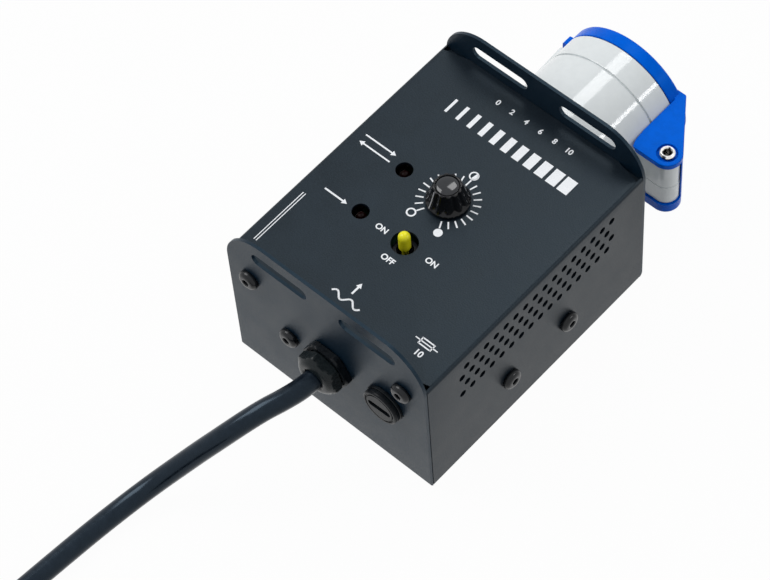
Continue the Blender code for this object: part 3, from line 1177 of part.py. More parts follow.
def arm_outline():
    """A hinge arm seen from above. Its heel is round, so that it clears the barrel as the lid turns."""
    low, _ = block_levels()
    offset = SOCKET_Z - low + GAP
    barrel = SOCKET_X + sqrt((BARREL_RADIUS + GAP) ** 2 - offset ** 2)
    heel = HINGE_X - barrel - GAP
    outer_face = MOUTH + GAP + LID_RIM + LID_THICKNESS
    corner = (ARM_CORNER_X, outer_face + ARM_CORNER_RISE)
    away = hypot(corner[0] - HINGE_X, corner[1] - HINGE_Y)
    bearing = np.degrees(np.arctan2(corner[1] - HINGE_Y, corner[0] - HINGE_X))
    tangent = bearing - np.degrees(acos(ARM_RADIUS / away))
    heel_end = 180 + np.degrees(np.arcsin(ARM_RADIUS / heel))
    inner_x = SOCKET_X + sqrt((BARREL_RADIUS + GAP) ** 2 - (offset + ARM_THICKNESS) ** 2)
    outline = [corner]
    outline += [(inner_x - ARM_ROOT, outer_face + ARM_CORNER_RISE), (inner_x - ARM_ROOT, MOUTH + GAP + LID_RIM)]
    outline += [(inner_x, MOUTH + GAP + LID_RIM), (inner_x, HINGE_Y)]
    outline += arc(HINGE_X, HINGE_Y, heel, 180, heel_end, 4)
    outline += arc(HINGE_X, HINGE_Y, ARM_RADIUS, -90, tangent, 10)
    return outline


def make_lid():
    centre = (SOCKET_X, SOCKET_Z)
    pivot = (HINGE_X, HINGE_Y, SOCKET_Z)
    rim_start = MOUTH + GAP
    plate = rim_start + LID_RIM
    outer_face = plate + LID_THICKNESS
    rim_inner = BARREL_RADIUS - LID_RIM_WALL
    low, high = block_levels()
    arm_top = high + GAP + ARM_THICKNESS
    arm_bottom = low - GAP - LOWER_ARM_THICKNESS
    outline = arm_outline()

    def arms(bm):
        add_prism(bm, outline, high + GAP, arm_top, "Z")
        add_prism(bm, outline, arm_bottom, low - GAP, "Z")

    lid = piece("socket_lid", BLUE_PLASTIC, arms, pivot)
    room_start = HINGE_Y - BARREL_RADIUS
    in_rim = BARREL_RADIUS - LID_RIM_WALL / 2
    barrel_room = [(0, room_start), (BARREL_RADIUS + GAP, room_start), (BARREL_RADIUS + GAP, rim_start)]
    barrel_room += [(in_rim, rim_start), (in_rim, plate), (0, plate)]
    profile = [(0, plate), (rim_inner, plate), (rim_inner, rim_start), (BARREL_RADIUS, rim_start)]
    profile += [(BARREL_RADIUS, outer_face - LID_RIM_WALL), (BARREL_RADIUS - LID_RIM_WALL, outer_face)]
    profile += [(0, outer_face)]

    def thumb_tab(bm):
        reach = SOCKET_X - BARREL_RADIUS
        inner = reach + LID_RIM_WALL / 2
        tab = rectangle((inner + reach - TAB_REACH) / 2, SOCKET_Z, inner - reach + TAB_REACH, TAB_DEPTH)
        tab_face = outer_face - LID_RIM_WALL
        add_prism(bm, tab, tab_face - TAB_THICKNESS, tab_face, "Y")

    def pin_hole(bm):
        hole = circle(HINGE_X, HINGE_Y, PIN_SHANK + FIT, 18)
        add_prism(bm, hole, arm_bottom - OVERCUT, arm_top + OVERCUT, "Z")

    cut(lid, "barrel_room", lambda bm: add_turned(bm, barrel_room, "Y", centre, 32))
    join(lid, "plate", lambda bm: add_turned(bm, profile, "Y", centre, 32))
    join(lid, "thumb_tab", thumb_tab)
    cut(lid, "pin_hole", pin_hole)

    outer = rim_inner - FIT
    seal = [(outer - SEAL_WIDTH, rim_start), (outer, rim_start), (outer, plate - GAP)]
    seal += [(outer - SEAL_WIDTH, plate - GAP)]
    piece("lid_seal", BLACK_RUBBER, lambda bm: add_turned(bm, seal, "Y", centre, 32, closed=True), pivot)

    top = arm_top + GAP
    bottom = arm_bottom - GAP
    rivet = [(RIVET_BORE, bottom - RIVET_HEAD_HEIGHT), (RIVET_HEAD, bottom - RIVET_HEAD_HEIGHT), (RIVET_HEAD, bottom)]
    rivet += [(PIN_SHANK, bottom), (PIN_SHANK, top), (RIVET_HEAD, top), (RIVET_HEAD, top + RIVET_HEAD_HEIGHT)]
    rivet += [(RIVET_BORE, top + RIVET_HEAD_HEIGHT)]
    piece("hinge_pin", BRIGHT_STEEL, lambda bm: add_turned(bm, rivet, "Z", (HINGE_X, HINGE_Y), 18, closed=True))

    spring_low = low + SPRING_WIRE + GAP
    points = []
    for i in range(SPRING_TURNS * SPRING_POINTS + 1):
        turns = i / SPRING_POINTS
        angle = 2 * pi * turns
        x = HINGE_X + SPRING_RADIUS * cos(angle)
        y = HINGE_Y + SPRING_RADIUS * sin(angle)
        points.append((x, y, spring_low + SPRING_PITCH * turns))
    tube("lid_spring", BRIGHT_STEEL, points, SPRING_WIRE, 1)
    print(f"lid_spring: least gap to itself {1000 * least_gap(points, SPRING_WIRE):.2f} mm")


make_chassis()
make_cover()
make_box_fasteners()
make_knob()
make_potentiometer()
make_switch()
make_control_board()
make_power_board()
make_heat_sink()
make_fuse()
make_gland()
make_wires()
make_cable()
make_coil()
make_plug()
make_socket_shell()
make_contacts()
make_lid()
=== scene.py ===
"""A portable stage lighting dimmer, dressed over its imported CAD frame.

Metres, +Z up. The supply cable comes in at -Y and the socket outlet stands on the +Y end.
"""
from math import cos, hypot, pi, radians, sin, sqrt

import bmesh
import bpy
import numpy as np
from mathutils import Matrix, Vector


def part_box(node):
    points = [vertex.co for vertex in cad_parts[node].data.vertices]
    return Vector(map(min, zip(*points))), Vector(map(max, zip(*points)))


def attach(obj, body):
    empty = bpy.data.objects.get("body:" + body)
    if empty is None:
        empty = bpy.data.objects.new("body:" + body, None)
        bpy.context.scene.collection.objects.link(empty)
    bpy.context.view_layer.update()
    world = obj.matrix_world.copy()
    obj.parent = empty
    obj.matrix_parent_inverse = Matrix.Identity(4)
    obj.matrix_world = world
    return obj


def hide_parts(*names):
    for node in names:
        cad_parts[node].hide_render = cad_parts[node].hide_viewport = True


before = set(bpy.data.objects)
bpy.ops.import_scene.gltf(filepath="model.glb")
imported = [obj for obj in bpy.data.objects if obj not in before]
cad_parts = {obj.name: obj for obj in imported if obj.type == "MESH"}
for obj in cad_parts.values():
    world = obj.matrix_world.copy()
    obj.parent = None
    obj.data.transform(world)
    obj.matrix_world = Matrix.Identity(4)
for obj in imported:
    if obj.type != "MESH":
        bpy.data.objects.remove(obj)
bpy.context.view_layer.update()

scene = bpy.context.scene

# Studio: a plain white ground and a camera high over the front right corner. A large soft box at the left
# fills the box's faces; a second one over the rear and a narrow strip at the right draw the two bright
# streaks along the socket's barrel. The floor is painted board and keeps a faint soft shadow.
CAMERA_PLACE = Vector((0.491288, -0.5016887, 1.114972))
TOWARDS_CAMERA = Vector((0.3902, -0.3725, 0.842)).normalized()
CAMERA_UP = Vector((-0.5438, 0.6448, 0.5372)).normalized()
LENS = 145.85
SENSOR = 36.0
SKY_COLOUR = (0.93, 0.97, 1.0, 1.0)
SKY_STRENGTH = 0.36
FLOOR_HALF = 4.0
FLOOR_LEVEL = -0.0003
FLOOR_GREY = 0.60
FLOOR_WHITE_SHARE = 0.97


def placed(name, data):
    """Puts a mesh, curve, lamp or camera into the scene as an object."""
    obj = bpy.data.objects.new(name, data)
    scene.collection.objects.link(obj)
    return obj


camera_right = CAMERA_UP.cross(TOWARDS_CAMERA).normalized()
camera_up = TOWARDS_CAMERA.cross(camera_right)
camera_data = bpy.data.cameras.new("camera")
camera_data.sensor_fit = "HORIZONTAL"
camera_data.sensor_width = SENSOR
camera_data.lens = LENS
camera_data.clip_start = 0.05
camera_data.clip_end = 30.0
camera = placed("camera", camera_data)
camera_facing = Matrix((camera_right, camera_up, TOWARDS_CAMERA)).transposed()
camera.matrix_world = Matrix.Translation(CAMERA_PLACE) @ camera_facing.to_4x4()
scene.camera = camera
scene.view_settings.view_transform = "Standard"


def joined(tree, pairs):
    """Links each output socket of a node tree to its input socket."""
    for source, entry in pairs:
        tree.links.new(source, entry)


def tuned(node, values):
    """Sets the values of a node's inputs."""
    for entry, value in values.items():
        node.inputs[entry].default_value = value
    return node


def ground_rays(tree):
    """1 where a ray comes from the camera, a reflection or a transmission, and 0 where it lights things."""
    path = tree.nodes.new("ShaderNodeLightPath")
    share = path.outputs["Is Camera Ray"]
    for ray in ("Is Glossy Ray", "Is Transmission Ray"):
        either = tree.nodes.new("ShaderNodeMath")
        either.operation = "MAXIMUM"
        joined(tree, [(share, either.inputs[0]), (path.outputs[ray], either.inputs[1])])
        share = either.outputs[0]
    return share


world = bpy.data.worlds.new("white_studio")
scene.world = world
world.use_nodes = True
sky = world.node_tree
sky.nodes.clear()
soft_light = sky.nodes.new("ShaderNodeBackground")
tuned(soft_light, {"Color": SKY_COLOUR, "Strength": SKY_STRENGTH})
white = tuned(sky.nodes.new("ShaderNodeBackground"), {"Color": (1.0, 1.0, 1.0, 1.0), "Strength": 1.0})
mix = sky.nodes.new("ShaderNodeMixShader")
out = sky.nodes.new("ShaderNodeOutputWorld")
joined(sky, [
    (ground_rays(sky), mix.inputs["Fac"]),
    (soft_light.outputs[0], mix.inputs[1]),
    (white.outputs[0], mix.inputs[2]),
    (mix.outputs[0], out.inputs["Surface"]),
])


def soft_box(name, place, aim, width, height, power):
    """A rectangular area lamp that faces a point, its height as near along +Y as it can be."""
    lamp = bpy.data.lights.new(name, "AREA")
    lamp.shape = "RECTANGLE"
    lamp.size = width
    lamp.size_y = height
    lamp.energy = power
    holder = placed(name, lamp)
    back = (Vector(place) - Vector(aim)).normalized()
    along = (Vector((0, 1, 0)) - back * back.y).normalized()
    facing = Matrix((along.cross(back), along, back)).transposed()
    holder.matrix_world = Matrix.Translation(place) @ facing.to_4x4()


soft_box("fill_soft_box", (-0.95, -0.35, 1.25), (0, 0, 0.04), 0.9, 0.9, 13.0)
soft_box("rear_soft_box", (-0.22, 0.65, 1.13), (0, 0.10, 0.06), 0.40, 0.5, 3.5)
soft_box("right_strip", (0.86, 0.65, 0.67), (0, 0.10, 0.06), 0.11, 0.5, 2.0)

floor_mesh = bpy.data.meshes.new("studio_floor")
corners = [(x * FLOOR_HALF, y * FLOOR_HALF, FLOOR_LEVEL) for x, y in ((-1, -1), (1, -1), (1, 1), (-1, 1))]
floor_mesh.from_pydata(corners, [], [(0, 1, 2, 3)])
floor = placed("studio_floor", floor_mesh)
board = bpy.data.materials.new("white_floor_board")
board.use_nodes = True
nodes = board.node_tree.nodes
shader = nodes["Principled BSDF"]
tuned(shader, {"Base Color": (FLOOR_GREY, FLOOR_GREY, FLOOR_GREY, 1.0), "Roughness": 0.9})
glow = tuned(nodes.new("ShaderNodeEmission"), {"Strength": 1.0})
part_way = tuned(nodes.new("ShaderNodeMath"), {1: FLOOR_WHITE_SHARE})
part_way.operation = "MULTIPLY"
mix = nodes.new("ShaderNodeMixShader")
joined(board.node_tree, [
    (ground_rays(board.node_tree), part_way.inputs[0]),
    (part_way.outputs[0], mix.inputs["Fac"]),
    (shader.outputs["BSDF"], mix.inputs[1]),
    (glow.outputs[0], mix.inputs[2]),
    (mix.outputs[0], nodes["Material Output"].inputs["Surface"]),
])
floor_mesh.materials.append(board)

# Supply cable: three cores in a round black rubber sheath, 9.2 mm across. It leaves the gland, bends
# down to the floor and runs out of view, where the rest lies in a neat two-layer coil under a hook-and-
# loop strap, with a moulded rubber plug on its end.
CABLE_RADIUS = 0.0046
FLOOR_GAP = 0.0001
CABLE_FLOOR = CABLE_RADIUS + FLOOR_GAP
ROUTE_SPACING = 0.0085
CURVE_STEPS = 24
COIL_RADIUS = 0.060
COIL_MIDDLE = (0.019, -0.262)
COIL_TURNS = 4
COIL_PITCH = 0.0099
COIL_POINTS = 24
COIL_TAIL = 0.020


def axis_of(low, high, across="xz"):
    """The middle of a box across its axis."""
    return tuple((getattr(low, k) + getattr(high, k)) / 2 for k in across)


gland_low, gland_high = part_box("gland_nut")
gland_axis = axis_of(gland_low, gland_high)
gland_mouth = gland_low.y
cable_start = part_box("supply_cable")[1].y
plug_low, plug_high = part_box("plug_body")
plug_axis = axis_of(plug_low, plug_high)


def on_way(p, q, a, b, t):
    """The point on the way from p to q while t goes from a to b."""
    return p * ((b - t) / (b - a)) + q * ((t - a) / (b - a))


def smooth_route(points, spacing):
    """Evenly spaced points on a smooth curve through a route's own points."""
    given = [Vector(p) for p in points]
    given = [given[0] * 2 - given[1], *given, given[-1] * 2 - given[-2]]
    dense = []
    for p0, p1, p2, p3 in zip(given, given[1:], given[2:], given[3:]):
        t0, t1 = 0.0, sqrt((p1 - p0).length)
        t2 = t1 + sqrt((p2 - p1).length)
        t3 = t2 + sqrt((p3 - p2).length)
        for i in range(CURVE_STEPS):
            t = t1 + (t2 - t1) * i / CURVE_STEPS
            a1 = on_way(p0, p1, t0, t1, t)
            a2 = on_way(p1, p2, t1, t2, t)
            a3 = on_way(p2, p3, t2, t3, t)
            dense.append(on_way(on_way(a1, a2, t0, t2, t), on_way(a2, a3, t1, t3, t), t1, t2, t))
    dense = np.array([*dense, given[-2]])
    along = np.concatenate([[0.0], np.cumsum(np.linalg.norm(np.diff(dense, axis=0), axis=1))])
    stops = np.linspace(0.0, along[-1], round(along[-1] / spacing) + 1)
    return np.stack([np.interp(stops, along, dense[:, k]) for k in range(3)], axis=1)


def gentle_rise(share):
    """A smooth rise from 0 to 1 while its share of the way goes from 0 to 1."""
    share = min(1.0, max(0.0, share))
    return share * share * (3 - 2 * share)


coil_x = COIL_MIDDLE[0] - COIL_RADIUS
free_end = COIL_MIDDLE[1] + 2 * CABLE_RADIUS
in_gland = (cable_start, gland_mouth + 0.0092, gland_mouth - 0.0023)
route = [(gland_axis[0], y, gland_axis[1]) for y in in_gland]
route += [(-0.0016, -0.0915, 0.0431), (-0.0056, -0.1011, 0.0412), (-0.0100, -0.1099, 0.0368)]
route += [(-0.0146, -0.1175, 0.0310), (-0.0197, -0.1248, 0.0242), (-0.0247, -0.1323, 0.0172)]
route += [(-0.0293, -0.1403, 0.0110), (-0.0327, -0.1491, 0.0069), (-0.0348, -0.1589, 0.0051)]
route += [(x, y, CABLE_FLOOR) for x, y in ((-0.0361, -0.1693), (-0.0384, -0.1980), (-0.0402, -0.2260))]
route += [(coil_x, free_end + 2 * CABLE_RADIUS, CABLE_FLOOR), (coil_x, free_end, CABLE_FLOOR)]
line = smooth_route(route, ROUTE_SPACING)
line[:, 2] = np.maximum(line[:, 2], CABLE_FLOOR)
line = [tuple(p) for p in line]
middle = COIL_TURNS / 2
for i in range(COIL_TURNS * COIL_POINTS + 1):
    turns = i / COIL_POINTS
    radius = COIL_RADIUS - COIL_PITCH * (middle - abs(turns - middle))
    rise = COIL_PITCH * gentle_rise((turns - middle + 0.25) / 0.5)
    rise += (plug_axis[1] - CABLE_FLOOR - COIL_PITCH) * gentle_rise(turns - COIL_TURNS + 1.0)
    angle = pi + 2 * pi * turns
    x = COIL_MIDDLE[0] + radius * cos(angle)
    line.append((x, COIL_MIDDLE[1] + radius * sin(angle), CABLE_FLOOR + rise))
line.append((coil_x, COIL_MIDDLE[1] - COIL_TAIL, plug_axis[1]))

cable_curve = bpy.data.curves.new("supply_cable_sheath", "CURVE")
cable_curve.dimensions = "3D"
cable_curve.bevel_depth = CABLE_RADIUS
cable_curve.bevel_resolution = 6
cable_curve.resolution_u = 4
cable_curve.use_fill_caps = True
spline = cable_curve.splines.new("BEZIER")
spline.bezier_points.add(len(line) - 1)
for knot, point in zip(spline.bezier_points, line):
    knot.co = point
    knot.handle_left_type = "AUTO"
    knot.handle_right_type = "AUTO"
cable = placed("supply_cable_sheath", cable_curve)


def grain_group():
    """Moulded, cast or painted grain: a patchy colour and roughness, and the height of fine bumps."""
    group = bpy.data.node_groups.new("surface_grain", "ShaderNodeTree")
    for name, kind, value in (
        ("Scale", "Float", 800.0),
        ("Dark", "Color", (0.1, 0.1, 0.1, 1.0)),
        ("Light", "Color", (0.2, 0.2, 0.2, 1.0)),
        ("Smoothest", "Float", 0.3),
        ("Roughest", "Float", 0.5),
    ):
        entry = group.interface.new_socket(name, in_out="INPUT", socket_type="NodeSocket" + kind)
        entry.default_value = value
    for name, kind in (("Colour", "Color"), ("Roughness", "Float"), ("Height", "Float")):
        group.interface.new_socket(name, in_out="OUTPUT", socket_type="NodeSocket" + kind)
    nodes = group.nodes
    given = nodes.new("NodeGroupInput")
    result = nodes.new("NodeGroupOutput")
    place = nodes.new("ShaderNodeTexCoord")
    fine = tuned(nodes.new("ShaderNodeTexNoise"), {"Detail": 3.0, "Roughness": 0.6})
    coarse_scale = tuned(nodes.new("ShaderNodeMath"), {1: 0.05})
    coarse_scale.operation = "MULTIPLY"
    coarse = tuned(nodes.new("ShaderNodeTexNoise"), {"Detail": 4.0})
    blend = tuned(nodes.new("ShaderNodeMix"), {"Factor": 0.35})
    spread = tuned(nodes.new("ShaderNodeMapRange"), {"From Min": 0.36, "From Max": 0.64})
    tint = nodes.new("ShaderNodeMix")
    tint.data_type = "RGBA"
    rough = nodes.new("ShaderNodeMapRange")
    joined(group, [
        (place.outputs["Object"], fine.inputs["Vector"]),
        (place.outputs["Object"], coarse.inputs["Vector"]),
        (given.outputs["Scale"], fine.inputs["Scale"]),
        (given.outputs["Scale"], coarse_scale.inputs[0]),
        (coarse_scale.outputs[0], coarse.inputs["Scale"]),
        (fine.outputs["Fac"], blend.inputs["A"]),
        (coarse.outputs["Fac"], blend.inputs["B"]),
        (blend.outputs["Result"], spread.inputs["Value"]),
        (spread.outputs["Result"], tint.inputs["Factor"]),
        (given.outputs["Dark"], tint.inputs["A"]),
        (given.outputs["Light"], tint.inputs["B"]),
        (spread.outputs["Result"], rough.inputs["Value"]),
        (given.outputs["Smoothest"], rough.inputs["To Min"]),
        (given.outputs["Roughest"], rough.inputs["To Max"]),
        (tint.outputs["Result"], result.inputs["Colour"]),
        (rough.outputs["Result"], result.inputs["Roughness"]),
        (fine.outputs["Fac"], result.inputs["Height"]),
    ])
    return group


surface_grain = grain_group()


def grained(name, dark, light, roughness, scale, bump, metallic=0.0, specular=0.5,
            gloss_tint=(1.0, 1.0, 1.0)):
    """A material whose colour, roughness and bump come from the surface grain group."""
    finish = bpy.data.materials.new(name)
    finish.use_nodes = True
    nodes = finish.node_tree.nodes
    shader = nodes["Principled BSDF"]
    tuned(shader, {"Metallic": metallic, "Specular IOR Level": specular, "Specular Tint": (*gloss_tint, 1.0)})
    grain = nodes.new("ShaderNodeGroup")
    grain.node_tree = surface_grain
    grain.name = "grain"
    tuned(grain, {"Scale": scale, "Dark": (*dark, 1.0), "Light": (*light, 1.0)})
    tuned(grain, {"Smoothest": roughness[0], "Roughest": roughness[1]})
    bumps = tuned(nodes.new("ShaderNodeBump"), {"Strength": 1.0, "Distance": bump})
    bumps.name = "bumps"
    joined(finish.node_tree, [
        (grain.outputs["Colour"], shader.inputs["Base Color"]),
        (grain.outputs["Roughness"], shader.inputs["Roughness"]),
        (grain.outputs["Height"], bumps.inputs["Height"]),
        (bumps.outputs["Normal"], shader.inputs["Normal"]),
    ])
    return finish


sheath_rubber = grained("sheath_rubber", (0.003, 0.006, 0.011), (0.008, 0.013, 0.021), (0.17, 0.25), 420.0,
                        0.000004, specular=0.30, gloss_tint=(0.6, 0.8, 1.0))
cable_curve.materials.append(sheath_rubber)
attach(cable, "box")
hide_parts("supply_cable", "cable_coil")

# Plug: one moulding in black rubber on the cable's end, with finger grips round it and a ribbed boot that
# keeps the cable from kinking. Two round brass pins stand in its face.
PLUG_RADIUS = (plug_high.x - plug_low.x) / 2
BOOT_LENGTH = 0.030
BOOT_TIP = 0.0064
BOOT_FLARE = 0.0022
BOOT_RIBS = 6
RIB_SHARE = 0.62
RIB_DEPTH = 0.0009
SHOULDER = 0.006
GRIPS = 16
GRIP_DEPTH = 0.0009
GRIP_START = 0.010
PLUG_ROUND = 0.0016
EDGE = 0.0003
plug_rubber = grained("plug_rubber", (0.010, 0.011, 0.014), (0.024, 0.026, 0.031), (0.45, 0.62), 500.0,
                      0.00006)


def mesh_of(bm, name):
    """The finished mesh of a bmesh, its faces turned outwards."""
    bmesh.ops.recalc_face_normals(bm, faces=bm.faces)
    mesh = bpy.data.meshes.new(name)
    bm.to_mesh(mesh)
    bm.free()
    return mesh


def even_shading(obj):
    obj.modifiers.new("even_shading", "WEIGHTED_NORMAL").keep_sharp = True


def dressed(name, bm, finish, body, nodes=(), smooth=35.0, even=True):
    """Makes an object of the mesh, gives it its finish and puts it on its body for its CAD nodes."""
    mesh = mesh_of(bm, name)
    mesh.shade_smooth()
    mesh.set_sharp_from_angle(angle=radians(smooth))
    obj = placed(name, mesh)
    if even:
        even_shading(obj)
    mesh.materials.append(finish)
    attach(obj, body)
    if nodes:
        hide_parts(*nodes)
    return obj


def lifted(a, b, level, axis):
    """The point at a and b across an axis, at a level along it."""
    return {"X": (level, a, b), "Y": (a, level, b), "Z": (a, b, level)}[axis]


def turned(name, profile, axis, centre, steps, finish, body, nodes=(), smooth=35.0, radius_at=None,
           even=True):
    """Turns (radius, level) points about an axis. radius_at may change a radius with the angle."""
    bm = bmesh.new()
    rings = []
    for index, (radius, level) in enumerate(profile):
        ring = []
        for i in range(steps if radius else 1):
            t = 2 * pi * i / steps
            r = radius_at(index, radius, t) if radius_at and radius else radius
            ring.append(bm.verts.new(lifted(centre[0] + r * cos(t), centre[1] + r * sin(t), level, axis)))
        rings.append(ring)
    closed = profile[0][0] > 0 and profile[-1][0] > 0
    for first, second in zip(rings, rings[1:] + (rings[:1] if closed else [])):
        for i in range(steps):
            j = (i + 1) % steps
            corners = [first[0]] if len(first) == 1 else [first[i], first[j]]
            corners += [second[0]] if len(second) == 1 else [second[j], second[i]]
            bm.faces.new(corners)
    return dressed(name, bm, finish, body, nodes, smooth, even)


profile = [(0, plug_high.y), (BOOT_TIP - 0.0002, plug_high.y)]
for rib in range(BOOT_RIBS):
    stops = (rib, rib + RIB_SHARE, rib + 1)
    start, end, following = (plug_high.y - BOOT_LENGTH * stop / BOOT_RIBS for stop in stops)
    radius = BOOT_TIP + BOOT_FLARE * rib / BOOT_RIBS
    profile += [(radius, start - EDGE), (radius, end), (radius - RIB_DEPTH, end - EDGE)]
    profile += [(radius - RIB_DEPTH, following + 0.0002)]
boot_end = plug_high.y - BOOT_LENGTH
profile += [(PLUG_RADIUS * 0.62, boot_end - 0.0004), (PLUG_RADIUS * 0.84, boot_end - SHOULDER * 0.35)]
profile += [(PLUG_RADIUS * 0.97, boot_end - SHOULDER), (PLUG_RADIUS, boot_end - SHOULDER * 1.4)]
profile += [(PLUG_RADIUS, plug_low.y + level) for level in (GRIP_START, GRIP_START - 0.0005, PLUG_ROUND)]
profile += [(PLUG_RADIUS - PLUG_ROUND, plug_low.y), (0, plug_low.y)]
grips_end = len(profile) - 4


def finger_grips(index, radius, t):
    grip = PLUG_RADIUS * 0.95 < radius and index < grips_end
    return radius - (GRIP_DEPTH * (0.5 + 0.5 * cos(GRIPS * t)) if grip else 0)


plug = turned("plug_grip", profile, "Y", plug_axis, GRIPS * 6, plug_rubber, "box",
              ["plug_body"], radius_at=finger_grips)


def eased(points, size, steps=3, closed=False):
    """An outline whose corners are rounded off by up to the given size."""
    result = []
    count = len(points)
    for i, point in enumerate(points):
        if not closed and i in (0, count - 1):
            result.append(point)
            continue
        here = Vector(point)
        before = Vector(points[i - 1]) - here
        after = Vector(points[(i + 1) % count]) - here
        a = here + before.normalized() * min(size, before.length * 0.45)
        b = here + after.normalized() * min(size, after.length * 0.45)
        for k in range(steps + 1):
            t = k / steps
            bend = a * (1 - t) ** 2 + here * 2 * t * (1 - t) + b * t ** 2
            result.append(tuple(bend))
    return result


plated_brass = grained("plug_pin_brass", (0.60, 0.44, 0.20), (0.80, 0.60, 0.30), (0.22, 0.40), 900.0,
                       0.000004, metallic=1.0)
for hand in ("left", "right"):
    low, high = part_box(f"plug_pin_{hand}")
    radius = (high.x - low.x) / 2
    tip = [(0, low.y), (radius * 0.55, low.y), (radius, low.y + radius), (radius, high.y), (0, high.y)]
    turned(f"plug_pin_{hand}_turned", eased(tip, 0.0009), "Y", axis_of(low, high), 24,
                             plated_brass, "box", [f"plug_pin_{hand}"])

# Strap: a band of black hook-and-loop cloth, 12 mm wide, closed round the coil's far side, where the two
# layers lie flat on each other.
STRAP = 0.0007
STRAP_WIDTH = 0.012
STRAP_REACH = 0.0103
STRAP_ROUND = 0.0042
STRAP_TOP_IN = 0.0199
STRAP_TOP_OUT = 0.0222
strap_cloth = grained("strap_cloth", (0.012, 0.013, 0.016), (0.035, 0.037, 0.042), (0.80, 0.95), 2600.0,
                      0.00015)


def skin(rows, hoop=False):
    """Joins rings of points to each other, and the last to the first in a hoop, or else caps both ends."""
    bm = bmesh.new()
    rings = [[bm.verts.new(point) for point in row] for row in rows]
    for first, second in zip(rings, rings[1:] + (rings[:1] if hoop else [])):
        for i in range(len(first)):
            j = (i + 1) % len(first)
            bm.faces.new((first[i], first[j], second[j], second[i]))
    if not hoop:
        bm.faces.new(rings[0])
        bm.faces.new(rings[-1])
    return bm


ring_x = COIL_MIDDLE[0] + COIL_RADIUS - COIL_PITCH
outlines = []
for inset, ease in ((0.0, STRAP_ROUND), (STRAP, STRAP_ROUND - 0.0006)):
    low_x, high_x = ring_x - STRAP_REACH + inset, ring_x + STRAP_REACH - inset
    around = [(low_x, inset), (high_x, inset)]
    around += [(high_x, STRAP_TOP_OUT - inset), (low_x, STRAP_TOP_IN - inset)]
    outlines.append(eased(around, ease, 5, True))
outer, inner = outlines
rows = [[(x, COIL_MIDDLE[1] + way * STRAP_WIDTH / 2, z) for x, z in outline]
        for outline, way in ((outer, -1), (outer, 1), (inner, 1), (inner, -1))]
strap = dressed("coil_strap", skin(rows, hoop=True), strap_cloth, "box")

# Chassis: one steel sheet, 1.5 mm thick, laser cut and folded up at both ends into plates that rise past
# the top as slotted ears. Fine black powder coat, a little blue where the light grazes it. It is the same
# paint as the cover's, but its colour is painted lighter and bluer: painted light on the lit end plates.
plate_coat_painted_lit = grained("chassis_powder_coat_painted_lit", (0.0005, 0.0070, 0.0160), (0.0052, 0.0150, 0.0290),
                       (0.34, 0.44), 1500.0, 0.00007, specular=0.25, gloss_tint=(0.62, 0.86, 1.0))
SHEET = 0.0015
BOX_WIDTH = 0.106
BOX_LENGTH = 0.135
PANEL = 0.074
EAR_TOP = 0.092
EAR_CORNER = 0.021
SLOT = (0.0297, 0.0067)
SLOT_X = 0.0234
SLOT_Z = EAR_TOP - 0.0097
FLOOR_BEND = 0.003
GAP = 0.0003
SEAM = 0.00012
COVER_SCREWS = (0.041, 0.0638)
EARTH_SCREW = (-0.0212, 0.0401)
M5_HOLE = 0.0028
GLAND_HOLE = 0.0083
FUSE_HOLE = 0.0073
SOCKET_HOLE = 0.0221
BROKEN_EDGE = 0.00022
SHARP_EDGE = 50
front = -BOX_LENGTH / 2
rear = BOX_LENGTH / 2
fuse_low, fuse_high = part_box("fuse_holder")
fuse_axis = axis_of(fuse_low, fuse_high)
socket_axis = axis_of(*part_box("contact_carrier"))


def arc(centre, radius, start, end, steps):
    """Points on an arc, angles in degrees, both ends included."""
    angles = [radians(start + (end - start) * i / steps) for i in range(steps + 1)]
    return [(centre[0] + radius * cos(t), centre[1] + radius * sin(t)) for t in angles]


def round_hole(centre, radius, steps=32):
    return arc(centre, radius, 0, 360, steps)[:-1]


def long_hole(centre, reach, radius, steps):
    """Two half rounds, each a reach to one side of the centre."""
    x, y = centre
    return arc((x + reach, y), radius, -90, 90, steps) + arc((x - reach, y), radius, 90, 270, steps)


def slabs(shapes):
    """Fills each closed outline between two levels along its axis."""
    bm = bmesh.new()
    for outline, low, high, axis in shapes:
        bottom = [bm.verts.new(lifted(a, b, low, axis)) for a, b in outline]
        top = [bm.verts.new(lifted(a, b, high, axis)) for a, b in outline]
        bm.faces.new(bottom)
        bm.faces.new(top)
        for i in range(len(outline)):
            j = (i + 1) % len(outline)
            bm.faces.new((bottom[i], bottom[j], top[j], top[i]))
    return bm


def folded(width, base, end, sheet, bend, steps=6):
    """The U-shaped section of a sheet folded twice, its web at base and its two legs up to end."""
    way = 1 if end > base else -1
    middle = base + way * bend

    def fold(side, radius, start, stop):
        turn = arc((0, 0), radius, start, stop, steps)
        return [(side * (width - bend + a), middle - way * b) for a, b in turn]

    outside = [(-width, end), *fold(-1, bend, 0, 90), *fold(1, bend, 90, 0), (width, end)]
    inside = [(width - sheet, end), *fold(1, bend - sheet, 0, 90), *fold(-1, bend - sheet, 90, 0)]
    return outside + inside + [(-width + sheet, end)]


def kept_mesh(obj):
    """The object's mesh as its modifiers leave it."""
    bpy.context.view_layer.update()
    return bpy.data.meshes.new_from_object(obj.evaluated_get(bpy.context.evaluated_depsgraph_get()))


def worked(obj, steps):
    """Cuts, trims or adds each shape in turn and keeps the finished mesh."""
    for kind, shapes in steps:
        blank = placed("blank", mesh_of(slabs(shapes), "blank"))
        change = obj.modifiers.new("change", "BOOLEAN")
        change.operation = kind
        change.object = blank
        finished = kept_mesh(obj)
        obj.modifiers.remove(change)
        obj.data = finished
        bpy.data.objects.remove(blank)


def rounded(obj, name, width, segments, sharp):
    """Rounds every edge of a piece that is sharper than an angle in degrees."""
    bevel = obj.modifiers.new(name, "BEVEL")
    bevel.width = width
    bevel.segments = segments
    bevel.limit_method = "ANGLE"
    bevel.angle_limit = radians(sharp)
    bevel.harden_normals = True


